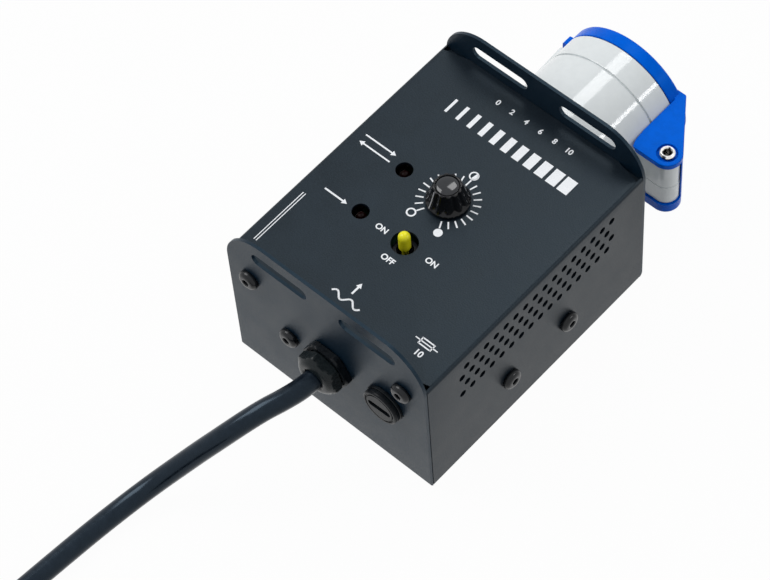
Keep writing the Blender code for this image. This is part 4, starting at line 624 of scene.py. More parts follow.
def sheet_metal(name, section, reach, axis, steps, node, coat):
    """A folded and pierced sheet with slightly broken edges."""
    mesh = mesh_of(slabs([(section, -reach, reach, axis)]), name)
    mesh.materials.append(coat)
    obj = placed(name, mesh)
    worked(obj, steps)
    rounded(obj, "broken_edges", BROKEN_EDGE, 2, SHARP_EDGE)
    obj.data.shade_smooth()
    obj.data.set_sharp_from_angle(angle=radians(SHARP_EDGE))
    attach(obj, "box")
    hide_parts(node)


wide = BOX_WIDTH / 2
past = 0.01
cover_reach = rear - SHEET - SEAM
cover_wide = wide + 0.0002
side_inner = cover_wide - SHEET
ear_base = EAR_TOP - EAR_CORNER
silhouette = [(-wide - past, -past), (wide + past, -past), (wide + past, ear_base)]
silhouette += arc((wide - EAR_CORNER, ear_base), EAR_CORNER, 0, 90, 20)
silhouette += arc((-wide + EAR_CORNER, ear_base), EAR_CORNER, 90, 180, 20)
silhouette += [(-wide - past, ear_base)]
beside = []
holes = []
for side in (-1, 1):
    low, high = sorted((side * (side_inner - GAP), side * (wide + past)))
    end = cover_reach + SEAM
    outline = [(-end, -past), (end, -past), (end, FLOOR_BEND), (-end, FLOOR_BEND)]
    beside.append((outline, low, high, "X"))
    slot = long_hole((side * SLOT_X, SLOT_Z), (SLOT[0] - SLOT[1]) / 2, SLOT[1] / 2, 12)
    screw_hole = round_hole((side * COVER_SCREWS[0], COVER_SCREWS[1]), M5_HOLE)
    holes += [(slot, front - past, rear + past, "Y"), (screw_hole, front - past, rear + past, "Y")]
piercings = []
for centre, radius, steps, plate in (
    (gland_axis, GLAND_HOLE, 40, front),
    (fuse_axis, FUSE_HOLE, 36, front),
    (EARTH_SCREW, M5_HOLE, 32, front),
    (socket_axis, SOCKET_HOLE, 64, rear),
):
    piercings.append((round_hole(centre, radius, steps), plate - past, plate + past, "Y"))
chassis_section = folded(rear, 0.0, EAR_TOP, SHEET, FLOOR_BEND)
sheet_metal("folded_chassis", chassis_section, wide, "X", [
    ("INTERSECT", [(silhouette, front - past, rear + past, "Y")]),
    ("DIFFERENCE", beside),
    ("DIFFERENCE", holes),
    ("DIFFERENCE", piercings),
], "chassis", plate_coat_painted_lit)

# Cover: a second folded sheet for the top panel and both sides, with four rows of punched vents in each
# side, holes for the controls and four inward tabs that the end screws bite into. Its coat is the same
# paint as the chassis's, its colour painted a shade blacker: painted shade on the panel and sides.
powder_coat = grained("black_powder_coat_painted_shaded", (0.0005, 0.0022, 0.0050), (0.0052, 0.0096, 0.0158), (0.34, 0.44),
                      1500.0, 0.00007, specular=0.27, gloss_tint=(0.70, 0.88, 1.0))
COVER_BEND = 0.0018
COVER_LIFT = 0.0013
TAB_REACH = 0.0075
TAB_HALF = 0.008
VENT = 0.0034
VENT_PITCH = 0.00593
VENT_ROWS = 4
VENT_COLUMNS = 16
VENT_DROP = 0.0081
DIAL = (0.0, 0.007)
DIAL_HOLE = 0.0043
TOGGLE = (0.0, -0.0195)
TOGGLE_HOLE = 0.00575
LAMP_X = -0.0238
LAMP_HOLE = 0.00375
HEAT_SCREW = (0.018, 0.0247)
# Each corner of the wedge-shaped notch at a top corner: how far in from the side and from the end it is.
NOTCH = ((0.0130, -past), (0.0012, -past), (0.0012, 0.0030), (0.0034, 0.0024), (0.0130, 0.0001))
tabs = []
notches = []
openings = []
for centre, radius, steps in (
    (DIAL, DIAL_HOLE, 32),
    (TOGGLE, TOGGLE_HOLE, 40),
    ((LAMP_X, DIAL[1]), LAMP_HOLE, 36),
    ((LAMP_X, TOGGLE[1]), LAMP_HOLE, 36),
):
    openings.append((round_hole(centre, radius, steps), PANEL - past / 2, PANEL + past, "Z"))
for side in (-1, 1):
    low, high = sorted((side * (COVER_SCREWS[0] - TAB_REACH), side * (cover_wide - SHEET / 2)))
    bottom, top = COVER_SCREWS[1] - TAB_HALF, COVER_SCREWS[1] + TAB_HALF
    tab = [(low, bottom), (high, bottom), (high, top), (low, top)]
    for end in (-1, 1):
        tabs.append((tab, *sorted((end * cover_reach, end * (cover_reach - SHEET))), "Y"))
        notch = [(side * (cover_wide - a), end * (cover_reach - b)) for a, b in NOTCH]
        notches.append((notch, PANEL - COVER_BEND, PANEL + past, "Z"))
    openings.append((round_hole((side * COVER_SCREWS[0], COVER_SCREWS[1]), M5_HOLE), front, rear, "Y"))
    heat_hole = round_hole((side * HEAT_SCREW[0], HEAT_SCREW[1]), M5_HOLE)
    openings.append((heat_hole, wide - past, wide + past, "X"))
vents = []
for row in range(VENT_ROWS):
    z = PANEL - VENT_DROP - row * VENT_PITCH
    stagger = VENT_PITCH / 4 if row % 2 == 0 else -VENT_PITCH / 4
    for column in range(VENT_COLUMNS):
        y = (column - (VENT_COLUMNS - 1) / 2) * VENT_PITCH + stagger
        vents.append((round_hole((y, z), VENT / 2, 16), -wide - past, wide + past, "X"))
cover_section = folded(cover_wide, PANEL, COVER_LIFT, SHEET, COVER_BEND)
sheet_metal("folded_cover", cover_section, cover_reach, "Y", [
    ("UNION", tabs),
    ("DIFFERENCE", openings),
    ("DIFFERENCE", notches),
    ("DIFFERENCE", vents),
], "cover", powder_coat)

# Screen print on the panel: white ink, a few hundredths of a millimetre thick. The dial has 21 ticks, an
# open circle at its low end, a half-filled one at the middle and a full one at its high end.
INK_TOP = PANEL + 0.00004
INK_FOOT = PANEL - 0.00002
FIRST_TICK = 240.0
TICK_STEP = 15.2
TICKS = 21
TICK_RING = (0.0102, 0.0136)
TICK_WIDTH = 0.00066
LAST_TICK = FIRST_TICK - (TICKS - 1) * TICK_STEP
SYMBOL = 0.00215
white_ink = grained("white_panel_ink", (0.80, 0.82, 0.85), (0.93, 0.94, 0.96), (0.45, 0.60), 1800.0,
                    0.00001)


def stroke(start, end, width):
    """A straight line of ink between two points, as an outline."""
    a, b = Vector(start), Vector(end)
    across = Vector((-(b - a).y, (b - a).x)).normalized() * width / 2
    return [tuple(a + across), tuple(a - across), tuple(b - across), tuple(b + across)]


def print_ink(name, outlines):
    ink = slabs([(outline, INK_FOOT, INK_TOP, "Z") for outline in outlines])
    dressed(name, ink, white_ink, "box")


def ring_of_ink(name, centre, outer, inner):
    profile = [(inner, INK_FOOT), (outer, INK_FOOT), (outer, INK_TOP), (inner, INK_TOP)]
    turned(name, profile, "Z", centre, 40, white_ink, "box")


def on_dial(radius, angle):
    """A point at a distance from the dial's centre, its angle in degrees."""
    return DIAL[0] + radius * cos(radians(angle)), DIAL[1] + radius * sin(radians(angle))


ticks = []
for i in range(TICKS):
    start, end = (on_dial(radius, FIRST_TICK - i * TICK_STEP) for radius in TICK_RING)
    ticks.append(stroke(start, end, TICK_WIDTH))
print_ink("dial_ticks", ticks)
symbol_ring = TICK_RING[1] + SYMBOL + 0.0001
half_place = on_dial(symbol_ring, 90)
ring_of_ink("dial_low_circle", on_dial(symbol_ring, FIRST_TICK), SYMBOL, SYMBOL - 0.0007)
ring_of_ink("dial_half_circle", half_place, SYMBOL, SYMBOL - 0.0006)
print_ink("dial_half_fill", [arc(half_place, SYMBOL - 0.0004, -100, 80, 16)])
print_ink("dial_full_circle", [round_hole(on_dial(symbol_ring, LAST_TICK), SYMBOL * 0.9, 40)])

# Level scale, in the same ink: a ramp of ever wider bars with plain numbers over it, from none to full.
# The switch has ON, OFF and ON round it, and the fuse the number 10.
RAMP = (-0.0335, 0.0350)
RAMP_Y = (0.0395, 0.0472)
RAMP_BARS = 11
THINNEST_BAR = 0.20
BAR_GROWTH = 0.64
FIRST_NUMBER = (-0.0165, 0.0568)
NUMBER_STEP = 0.0076
CAPITALS = 0.72
BOLD = 0.038
bars = []
step = (RAMP[1] - RAMP[0]) / RAMP_BARS
for i in range(RAMP_BARS):
    half = step * (THINNEST_BAR + BAR_GROWTH * i / (RAMP_BARS - 1)) / 2
    x = RAMP[0] + step * (i + 0.5)
    low, high = RAMP_Y
    bars.append([(x - half, low), (x + half, low), (x + half, high), (x - half, high)])
print_ink("level_ramp", bars)


def lettered(name, words, middle, height):
    """Plain capitals or figures in Blender's own typeface, thickened to a bold print."""
    text = bpy.data.curves.new(name, "FONT")
    text.body = words
    text.align_x = "CENTER"
    text.align_y = "CENTER"
    text.size = height / CAPITALS
    text.offset = height * BOLD
    text.extrude = (INK_TOP - INK_FOOT) / 2
    holder = placed(name, text)
    holder.location = (*middle, (INK_TOP + INK_FOOT) / 2)
    mesh = kept_mesh(holder)
    mesh.transform(holder.matrix_world)
    bpy.data.objects.remove(holder)
    obj = placed(name, mesh)
    mesh.materials.clear()
    mesh.materials.append(white_ink)
    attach(obj, "box")


for i in range(6):
    place = (FIRST_NUMBER[0] + NUMBER_STEP * i, FIRST_NUMBER[1])
    lettered(f"level_number_{2 * i}", str(2 * i), place, 0.0026)
lettered("switch_label_left", "ON", (-0.0117, -0.0203), 0.0027)
lettered("switch_label_front", "OFF", (0.0, -0.0297), 0.0027)
lettered("switch_label_right", "ON", (0.0145, -0.0197), 0.0027)
lettered("fuse_number", "10", (0.0385, -0.0546), 0.0029)

# Signs, in the same ink: arrows beside the two lamps, a wave and an arrow where the supply comes in, two
# fine rules along the left edge and a fuse sign near the fuse cap.
ARROW_HEAD = 0.0022
ARROW_HALF = 0.0013
OUTER_X = -0.0475
LAMP_SIDE_X = -0.0310
WAVE_START = (-0.0075, -0.0546)
WAVE_LENGTH = 0.0150
WAVE_HEIGHT = 0.0014
WAVE_STEPS = 16
RULE_X = (-0.0478, -0.0466)
RULE_Y = (-0.0570, -0.0275)
FUSE_BOX_X = (0.0352, 0.0413)
FUSE_BOX_Y = (-0.0509, -0.0479)
FUSE_LEAD = 0.0027
FUSE_LINE = 0.0006


def arrow(tail, tip, width):
    """A straight arrow of ink: its shaft and its head."""
    a, b = Vector(tail), Vector(tip)
    way = (b - a).normalized()
    neck = b - way * ARROW_HEAD
    across = Vector((-way.y, way.x)) * ARROW_HALF
    return [stroke(a, neck, width), [tuple(neck + across), tuple(neck - across), tuple(b)]]


fault_marks = arrow((OUTER_X, 0.0100), (LAMP_SIDE_X, 0.0100), 0.0007)
fault_marks += arrow((LAMP_SIDE_X, 0.0060), (OUTER_X, 0.0060), 0.0007)
print_ink("fault_lamp_sign", fault_marks)
print_ink("output_lamp_sign", arrow((-0.0425, -0.0204), (-0.0305, -0.0204), 0.0008))
wave = []
for i in range(WAVE_STEPS + 1):
    x = WAVE_START[0] + WAVE_LENGTH * i / WAVE_STEPS
    wave.append((x, WAVE_START[1] + WAVE_HEIGHT * sin(4 * pi * i / WAVE_STEPS)))
print_ink("mains_wave", [stroke(a, b, 0.0008) for a, b in zip(wave, wave[1:])])
print_ink("input_sign", arrow((0.0, -0.0510), (0.0, -0.0448), 0.0009))
print_ink("edge_rule", [stroke((x, RULE_Y[0]), (x, RULE_Y[1]), 0.0004) for x in RULE_X])
left, right = FUSE_BOX_X
bottom, top = FUSE_BOX_Y
level = (bottom + top) / 2
fuse_lines = [stroke((left - FUSE_LEAD, level), (right + FUSE_LEAD, level), 0.0005)]
fuse_lines += [stroke((left, y), (right, y), FUSE_LINE) for y in (top, bottom)]
low, high = bottom - FUSE_LINE / 2, top + FUSE_LINE / 2
fuse_lines += [stroke((x, low), (x, high), FUSE_LINE) for x in (left, right)]
print_ink("fuse_sign", fuse_lines)

# Button-head screws: chemically blackened M5 steel with a hexagon socket hold the cover, the earth and
# the heat sink, and small zinc-plated ones hold the socket outlet and the triac.
black_screw = grained("blackened_screw", (0.004, 0.005, 0.007), (0.012, 0.014, 0.017), (0.16, 0.26), 1600.0,
                      0.000004, specular=0.28)
zinc = grained("zinc_plate", (0.42, 0.42, 0.41), (0.62, 0.62, 0.60), (0.26, 0.42), 1200.0, 0.00001,
               metallic=1.0)
HEAD_RISE = 0.58
SHANK_SHARE = 0.53
DOME_FLAT = 0.52
DOME_FOOT = 0.25
KEY_LIP = 1.16
KEY_DEPTH = 0.62
KEY_CONE = 0.7
DOME_STEPS = 7


def socket_hex(flats):
    """The radius of a hexagon with these flats, at any angle."""
    return lambda t: flats / 2 / cos((t % (pi / 3)) - pi / 6)


def button_head(name, node, axis, way, finish, key):
    """A domed head with a sharp rim and a hexagon socket, over its plain shank."""
    low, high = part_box(node)
    order = "XYZ".index(axis)
    across = [k for k in range(3) if k != order]
    centre = [(low[k] + high[k]) / 2 for k in across]
    radius = (high[across[0]] - low[across[0]]) / 2
    foot, top = (low[order], high[order]) if way > 0 else (high[order], low[order])
    height = radius * HEAD_RISE
    seat = top - way * height
    shank = radius * SHANK_SHARE
    lip = key / 2 * KEY_LIP
    profile = [(0, foot), (shank, foot), (shank, seat), (radius - 0.0001, seat)]
    profile += [(radius, seat + way * 0.0002)]
    for i in range(DOME_STEPS):
        t = pi / 2 * i / DOME_STEPS
        rise = height * (DOME_FOOT + (1 - DOME_FOOT) * sin(t))
        profile.append((radius * (DOME_FLAT + (1 - DOME_FLAT) * cos(t)), seat + way * rise))
    profile += [(lip + 0.0004, top), (lip, top - way * 0.00008)]
    hexagon = len(profile)
    profile += [(key / 2, top - way * 0.0003), (key / 2, top - way * height * KEY_DEPTH)]
    profile += [(0, top - way * height * KEY_CONE)]
    six = socket_hex(key)
    turned(name, profile, axis, centre, 36, finish, "box", [node],
           radius_at=lambda i, r, t: six(t) if hexagon <= i <= hexagon + 1 else r)


for which, spots, axis, way in (
    ("cover", ("_front_left", "_front_right"), "Y", -1),
    ("cover", ("_rear_left", "_rear_right"), "Y", 1),
    ("earth", ("",), "Y", -1),
    ("heat_sink", ("_front", "_rear"), "X", 1),
):
    for spot in spots:
        name, node = f"{which}_button{spot}", f"{which}_screw{spot}"
        button_head(name, node, axis, way, black_screw, 0.003)
for spot in ("upper_left", "upper_right", "lower_left", "lower_right"):
    button_head(f"socket_button_{spot}", f"socket_screw_{spot}", "Y", 1, zinc, 0.0025)
button_head("triac_button", "triac_screw", "X", -1, zinc, 0.0018)

# Knob: moulded gloss black plastic, twelve flutes round a cone, a fine raised line for its pointer and a
# smooth grey disc set into its top. It sits on the potentiometer's shaft.
KNOB_BASE = 0.0093
KNOB_TOP = 0.0062
KNOB_SKIRT = 0.0013
KNOB_RIM = 0.0005
KNOB_HOLLOW = 0.0074
HOLLOW_DEPTH = 0.0036
DISC_SEAT = 0.0050
DISC_CROWN = 0.0010
SHAFT_BORE = 0.0033
CONE_POWER = 0.8
CONE_ROWS = 14
KNOB_FLUTES = 12
FLUTE_DEPTH = 0.0007
POINTER = radians(252.0)
POINTER_PROUD = 0.0003
POINTER_HALF = 0.00022
POINTER_ROWS = 8
knob_plastic = grained("gloss_black_plastic", (0.0015, 0.002, 0.003), (0.005, 0.006, 0.008), (0.08, 0.13),
                       500.0, 0.000002, specular=0.28)
disc_plastic = grained("satin_grey_disc", (0.006, 0.008, 0.011), (0.011, 0.014, 0.018), (0.06, 0.10), 900.0,
                       0.000001)
pointer_paint = grained("pointer_paint", (0.30, 0.30, 0.31), (0.50, 0.50, 0.52), (0.40, 0.50), 900.0,
                        0.000008)
knob_low, knob_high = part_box("knob")
disc_low, disc_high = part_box("knob_cap")
knob_rise = knob_high.z - knob_low.z


def knob_side(share):
    """The radius of the knob's cone at a share of its height."""
    return KNOB_BASE - EDGE - (KNOB_BASE - KNOB_TOP - EDGE) * share ** CONE_POWER


def knob_level(share):
    return knob_low.z + KNOB_SKIRT + (knob_rise - KNOB_SKIRT - KNOB_RIM) * share


profile = [(KNOB_HOLLOW, knob_low.z), (KNOB_BASE - 0.0002, knob_low.z), (KNOB_BASE, knob_low.z + EDGE)]
profile += [(KNOB_BASE, knob_low.z + 0.0010), (KNOB_BASE - 0.0002, knob_low.z + 0.0012)]
flute_start = len(profile)
profile += [(knob_side(i / CONE_ROWS), knob_level(i / CONE_ROWS)) for i in range(CONE_ROWS + 1)]
flute_end = len(profile)
profile += [(0.00612, knob_high.z - EDGE), (0.00592, knob_high.z - 0.0001), (0.0056, knob_high.z)]
profile += [(0.0052, knob_high.z - 0.0001), (DISC_SEAT, knob_high.z - 0.0004)]
profile += [(DISC_SEAT, disc_low.z - 0.0001), (SHAFT_BORE, disc_low.z - 0.0001)]
profile += [(SHAFT_BORE, knob_low.z + HOLLOW_DEPTH), (KNOB_HOLLOW, knob_low.z + HOLLOW_DEPTH)]


def flutes(index, radius, t):
    """The flutes fade in over the cone's first rows and out over its rim."""
    if not flute_start <= index < flute_end + 3:
        return radius
    share = min(1.0, (index - flute_start) / 2, (flute_end + 4 - index) / 5)
    return radius - FLUTE_DEPTH * share * (0.5 + 0.5 * cos(KNOB_FLUTES * t)) ** 2


turned("fluted_knob", profile, "Z", DIAL, KNOB_FLUTES * 10, knob_plastic, "knob", ["knob"],
       50.0, flutes)

disc_radius = (disc_high.x - disc_low.x) / 2
profile = [(0, disc_low.z), (disc_radius, disc_low.z), (disc_radius, disc_high.z - DISC_CROWN)]
for a in range(80, 0, -10):
    profile.append((disc_radius * sin(radians(a)), disc_high.z - DISC_CROWN * (1 - cos(radians(a)))))
profile += [(0, disc_high.z)]
turned("knob_disc", profile, "Z", DIAL, 48, disc_plastic, "knob", ["knob_cap"])

rows = []
for i in range(POINTER_ROWS + 1):
    share = i / POINTER_ROWS
    foot = knob_side(share) - 0.0001
    row = []
    for side, proud in ((-1, 0.0), (-1, POINTER_PROUD), (1, POINTER_PROUD), (1, 0.0)):
        turn = POINTER + side * POINTER_HALF / foot
        r = foot + proud
        row.append((DIAL[0] + r * cos(turn), DIAL[1] + r * sin(turn), knob_level(share)))
    rows.append(row)
dressed("knob_pointer", skin(rows), pointer_paint, "knob")

# Toggle switch: a yellow plastic bat, round-ended, that tilts to both sides in the panel's hole.
BAT = 0.0026
BAT_LENGTH = 0.0098
STEM = 0.0015
bat_plastic = grained("yellow_bat_plastic", (0.84, 0.78, 0.012), (0.92, 0.86, 0.02), (0.25, 0.36), 600.0,
                      0.000004, specular=0.3)
lever_low, lever_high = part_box("switch_lever")
neck = lever_high.z - BAT_LENGTH
ball = lever_high.z - BAT
profile = [(0, lever_low.z), (STEM, lever_low.z), (STEM, neck), (BAT * 0.9, neck + 0.0002)]
profile += [(BAT, neck + 0.0006), (BAT, ball)]
profile += [(BAT * cos(radians(a)), ball + BAT * sin(radians(a))) for a in range(10, 90, 10)]
profile += [(0, lever_high.z)]
turned("toggle_bat", profile, "Z", TOGGLE, 40, bat_plastic, "switch_lever",
       ["switch_lever"])

# Fuse holder: a black nylon flange on the front plate and a round cap with a slot that a coin turns. The
# fuse is held in the cap, and both pull out together.
FUSE_CAP = 0.0088
CAP_STEM = 0.0053
FUSE_BORE = 0.00345
BORE_START = 0.0053
RING = 0.0072
RING_DEPTH = 0.0005
COIN_SLOT_X = 0.0043
COIN_SLOT_HALF = 0.0016
COIN_SLOT_DEPTH = 0.0015
COIN_SLOT_TILT = 3.0
FUSE_FLANGE = 0.0092
FUSE_BARREL = 0.007
FUSE_MOUTH = 0.0056
FUSE_SEAT = fuse_low.y - GAP
black_nylon = grained("black_nylon", (0.003, 0.004, 0.006), (0.009, 0.012, 0.015), (0.24, 0.34), 700.0,
                      0.00001, specular=0.12)
cap_low, cap_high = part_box("fuse_cap")
cap_face = cap_low.y
profile = [(0, cap_face), (RING - 0.0004, cap_face), (RING - 0.0002, cap_face + RING_DEPTH)]
profile += [(RING + 0.0002, cap_face + RING_DEPTH), (RING + 0.0004, cap_face + 0.00005)]
profile += [(FUSE_CAP - 0.0006, cap_face + 0.00005), (FUSE_CAP - 0.0001, cap_face + 0.0004)]
profile += [(FUSE_CAP, cap_face + 0.0009), (FUSE_CAP - 0.0002, cap_face + 0.0011)]
profile += [(FUSE_CAP, cap_face + 0.0013), (FUSE_CAP, FUSE_SEAT), (CAP_STEM, FUSE_SEAT)]
profile += [(CAP_STEM, cap_high.y), (FUSE_BORE, cap_high.y)]
profile += [(FUSE_BORE, cap_face + BORE_START), (0, cap_face + BORE_START)]
fuse_cap = turned("coin_slot_cap", profile, "Y", fuse_axis, 72, black_nylon, "fuse_cap",
                  ["fuse_cap"], even=False)
tilt = Matrix.Rotation(radians(COIN_SLOT_TILT), 2)
slot = long_hole((0, 0), COIN_SLOT_X, COIN_SLOT_HALF, 8)
slot = [tuple(tilt @ Vector(p) + Vector(fuse_axis)) for p in slot]
worked(fuse_cap, [("DIFFERENCE", [(slot, cap_face - past, cap_face + COIN_SLOT_DEPTH, "Y")])])
even_shading(fuse_cap)

seat = front - GAP
profile = [(0, fuse_high.y), (FUSE_BARREL, fuse_high.y), (FUSE_BARREL, seat), (FUSE_FLANGE, seat)]
profile += [(FUSE_FLANGE, fuse_low.y + EDGE), (FUSE_FLANGE - EDGE, fuse_low.y), (FUSE_MOUTH, fuse_low.y)]
profile += [(FUSE_MOUTH, fuse_high.y - 0.002), (0, fuse_high.y - 0.002)]
turned("fuse_holder_moulding", profile, "Y", fuse_axis, 72, black_nylon, "box",
       ["fuse_holder"])

# Cable gland: black nylon. A hexagonal body screws through the plate, and a smaller domed hexagonal nut
# squeezes the rubber seal round the cable.
BODY_FLATS = 0.0218
BODY_HEX = 0.0034
BODY_COLLAR = 0.0074
NUT_FLATS = 0.019
NUT_HEX = 0.0041
NUT_TURN = radians(-18.0)
NUT_MOUTH = 0.0061
NUT_BORE = 0.0077
DOME_ROWS = 8
THREAD = 0.008
BORE = 0.0062
BORE_END = front + 0.0012
nut_nylon = grained("gland_nut_nylon", (0.005, 0.008, 0.010), (0.012, 0.017, 0.019), (0.22, 0.32), 700.0,
                    0.00001, specular=0.20)
inside = CABLE_RADIUS + GAP


def hexagon_rows(flats, start, end, turn=0.0):
    """Makes the rows from start up to end a hexagon whose corners are cut off at each row's own radius."""
    six = socket_hex(flats)
    return lambda index, radius, t: min(six(t - turn), radius) if start <= index < end else radius


gland_body_low, gland_body_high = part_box("gland_body")
body_face = seat - BODY_HEX
profile = [(BORE, gland_body_low.y), (BODY_COLLAR, gland_body_low.y), (BODY_COLLAR, body_face)]
profile += [(BODY_FLATS / 2 - 0.0006, body_face)]
hex_rows = len(profile)
profile += [(0.01145, body_face + 0.0001), (0.01235, body_face + 0.0008), (0.01235, seat - EDGE)]
body_shape = hexagon_rows(BODY_FLATS, hex_rows, len(profile))
profile += [(BODY_FLATS / 2 - 0.0004, seat), (THREAD, seat), (THREAD, gland_body_high.y)]
profile += [(inside, gland_body_high.y), (inside, BORE_END), (BORE, BORE_END)]
turned("gland_body_hexagon", profile, "Y", gland_axis, 96, black_nylon, "box",
       ["gland_body"], 30.0, body_shape)

hex_start = gland_high.y
hex_end = hex_start - NUT_HEX
dome = hex_end - gland_low.y
profile = [(NUT_BORE, hex_start), (NUT_FLATS / 2 - 0.0004, hex_start)]
hex_rows = len(profile)
profile += [(0.0103, hex_start - 0.0001), (0.0108, hex_start - 0.0005), (0.0108, hex_end + 0.0010)]
profile += [(0.0104, hex_end), (0.0096, hex_end - 0.0007)]
nut_shape = hexagon_rows(NUT_FLATS, hex_rows, len(profile), NUT_TURN)
for i in range(3, DOME_ROWS + 1):
    t = pi / 2 * i / DOME_ROWS
    profile.append((NUT_MOUTH + (NUT_FLATS / 2 - 0.0001 - NUT_MOUTH) * cos(t), hex_end - dome * sin(t)))
profile += [(NUT_MOUTH - 0.0005, gland_low.y), (inside, gland_low.y + 0.0005)]
profile += [(inside, hex_end - 0.0004), (NUT_BORE, hex_end - 0.0004)]
turned("gland_dome_nut", profile, "Y", gland_axis, 180, nut_nylon, "box", ["gland_nut"],
       30.0, nut_shape)

# Socket outlet: glossy light grey plastic, a square flange screwed to the rear plate and a round shroud
# with a fine parting groove, a key rib on the left and a solid hinge block on the right.
BARREL = 0.0308
WALL = 0.0038
GROOVE_PLACE = 0.0131
# Each corner of the groove: how deep it is and how far behind the groove's near side.
GROOVE = ((0.0, -0.0003), (0.0001, -0.0001), (0.0009, 0.0), (0.0010, 0.0004), (0.0009, 0.0008),
          (0.0001, 0.0009), (0.0, 0.0011))
CARRIER_HOLE = 0.0222
CARRIER_DEPTH = 0.0072
MOUTH_EDGE = 0.0005
FLANGE = 0.005
FLANGE_CORNER = 0.005
FLANGE_HOLE = BARREL - 0.0020
SCREW_HOLE = 0.0023
BLOCK_HALF = 0.0127
LEDGE_SHARE = 0.42
HINGE_RADIUS = 0.0058
PIN_HOLE = 0.0028
shell_plastic = grained("light_grey_plastic", (0.71, 0.74, 0.745), (0.75, 0.78, 0.785), (0.07, 0.11), 260.0,
                        0.000004)
shell_low, shell_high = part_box("socket_shell")
mouth = shell_high.y
groove = mouth - GROOVE_PLACE
seat = rear + GAP
profile = [(CARRIER_HOLE, seat + CARRIER_DEPTH), (CARRIER_HOLE, seat), (BARREL, seat)]
profile += [(BARREL - depth, groove + level) for depth, level in GROOVE]
profile += [(BARREL, mouth - MOUTH_EDGE), (BARREL - MOUTH_EDGE, mouth), (BARREL - WALL + MOUTH_EDGE, mouth)]
profile += [(BARREL - WALL, mouth - MOUTH_EDGE), (BARREL - WALL, seat + CARRIER_DEPTH)]
turned("socket_barrel", profile, "Y", socket_axis, 128, shell_plastic, "box",
       ["socket_shell"], 25.0)

corner = (shell_high.z - shell_low.z) / 2 - FLANGE_CORNER
screw_offset = axis_of(*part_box("socket_screw_upper_right"))[0] - socket_axis[0]
outline = []
for a, b, start in ((1, 1, 0), (-1, 1, 90), (-1, -1, 180), (1, -1, 270)):
    centre = (socket_axis[0] + a * corner, socket_axis[1] + b * corner)
    outline += arc(centre, FLANGE_CORNER, start, start + 90, 8)
flange = slabs([(outline, seat, seat + FLANGE, "Y")])
flange = dressed("socket_flange", flange, shell_plastic, "box", even=False)
flange_holes = []
for a in (-1, 1):
    for b in (-1, 1):
        place = (socket_axis[0] + a * screw_offset, socket_axis[1] + b * screw_offset)
        flange_holes.append((round_hole(place, SCREW_HOLE), seat - past, seat + past, "Y"))
flange_holes.append((round_hole(socket_axis, FLANGE_HOLE, 96), seat - past, seat + past, "Y"))
worked(flange, [("DIFFERENCE", flange_holes)])
rounded(flange, "moulded_edges", 0.0006, 3, 50)

pin_low, pin_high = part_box("hinge_pin")
pin_axis = axis_of(pin_low, pin_high, "xy")
block_low = socket_axis[1] - BLOCK_HALF
block_high = socket_axis[1] + BLOCK_HALF
ledge = block_low + (block_high - block_low) * LEDGE_SHARE
inner_x = socket_axis[0] + sqrt(BARREL ** 2 - BLOCK_HALF ** 2) - 0.001
for name, low, high, radius in (
    ("hinge_block_foot", block_low, ledge, HINGE_RADIUS),
    ("hinge_block_head", ledge, block_high, HINGE_RADIUS - 0.0002),
):
    outline = [(inner_x, pin_axis[1] - radius), *arc(pin_axis, radius, -90, 90, 24)]
    outline += [(inner_x, pin_axis[1] + radius)]
    block = slabs([(outline, low, high, "Z")])
    block = dressed(name, block, shell_plastic, "box", even=False)
    worked(block, [("DIFFERENCE", [(round_hole(pin_axis, PIN_HOLE), low - past, high + past, "Z")])])
    rounded(block, "moulded_edges", 0.0003, 2, 50)

# Key rib: moulded on the shroud's left side, deepest at the mouth, so that a plug goes in one way only. A
# short lug stands on it behind the groove.
RIB_ROOT = 0.0012
RIB_LEAN = 0.0004
RIB_ROUND = 0.0008
rib_x = socket_axis[0] - BARREL
for name, ends, depths, half in (
    ("socket_key_rib", (seat + FLANGE, mouth - 0.0004), (0.0008, 0.0027), 0.0046),
    ("socket_key_lug", (groove - 0.0042, groove - 0.0012), (0.0024, 0.0020), 0.0030),
):
    rows = []
    for level, depth in zip(ends, depths):
        outline = [(rib_x + RIB_ROOT, -half), (rib_x - depth, -half + RIB_LEAN)]
        outline += [(rib_x - depth, half - RIB_LEAN), (rib_x + RIB_ROOT, half)]
        rows.append([(x, level, z + socket_axis[1]) for x, z in eased(outline, RIB_ROUND, 3, True)])
    dressed(name, skin(rows), shell_plastic, "box")

# Spring lid: satin blue plastic, a round plate with a rim and a shallow ring groove, two flat arms down to
# the hinge and a thumb tab on the left.
LID_RIM = 0.0025
LID_THICKNESS = 0.0041
# Each corner of the ring groove: its share of the barrel's radius, and how deep it is.
LID_RING = ((0.80, 0.0), (0.79, 0.0004), (0.77, 0.0004), (0.76, 0.0))
ARM_ROUND = 0.0067
ARM_CORNER_X = 0.0292
ARM_ROOT_X = 0.0182
ARM_TOP = 0.0160
UPPER_ARM = 0.003
LOWER_ARM = 0.005
ARM_LEVELS = 5
RECESS = 0.0045
RECESS_DEPTH = 0.0014
lid_plastic = grained("signal_blue_plastic", (0.0, 0.100, 0.60), (0.0, 0.118, 0.70), (0.22, 0.30), 240.0,
                      0.000004, specular=0.10, gloss_tint=(0.05, 0.45, 1.0))
rim_start = mouth + GAP
plate = rim_start + LID_RIM
face = plate + LID_THICKNESS
top_edge = face + 0.0006
profile = [(0, plate), (BARREL - 0.001, plate), (BARREL - 0.001, rim_start + 0.0002)]
profile += [(BARREL - 0.0008, rim_start), (BARREL - 0.0002, rim_start), (BARREL, rim_start + EDGE)]
profile += [(BARREL, face - 0.0014), (BARREL - EDGE, face - 0.0006), (BARREL - 0.0010, face)]
profile += [(BARREL * share, face - depth) for share, depth in LID_RING]
profile += [(0, face)]
turned("lid_plate", profile, "Y", socket_axis, 128, lid_plastic, "socket_lid", ["socket_lid"],
       25.0)


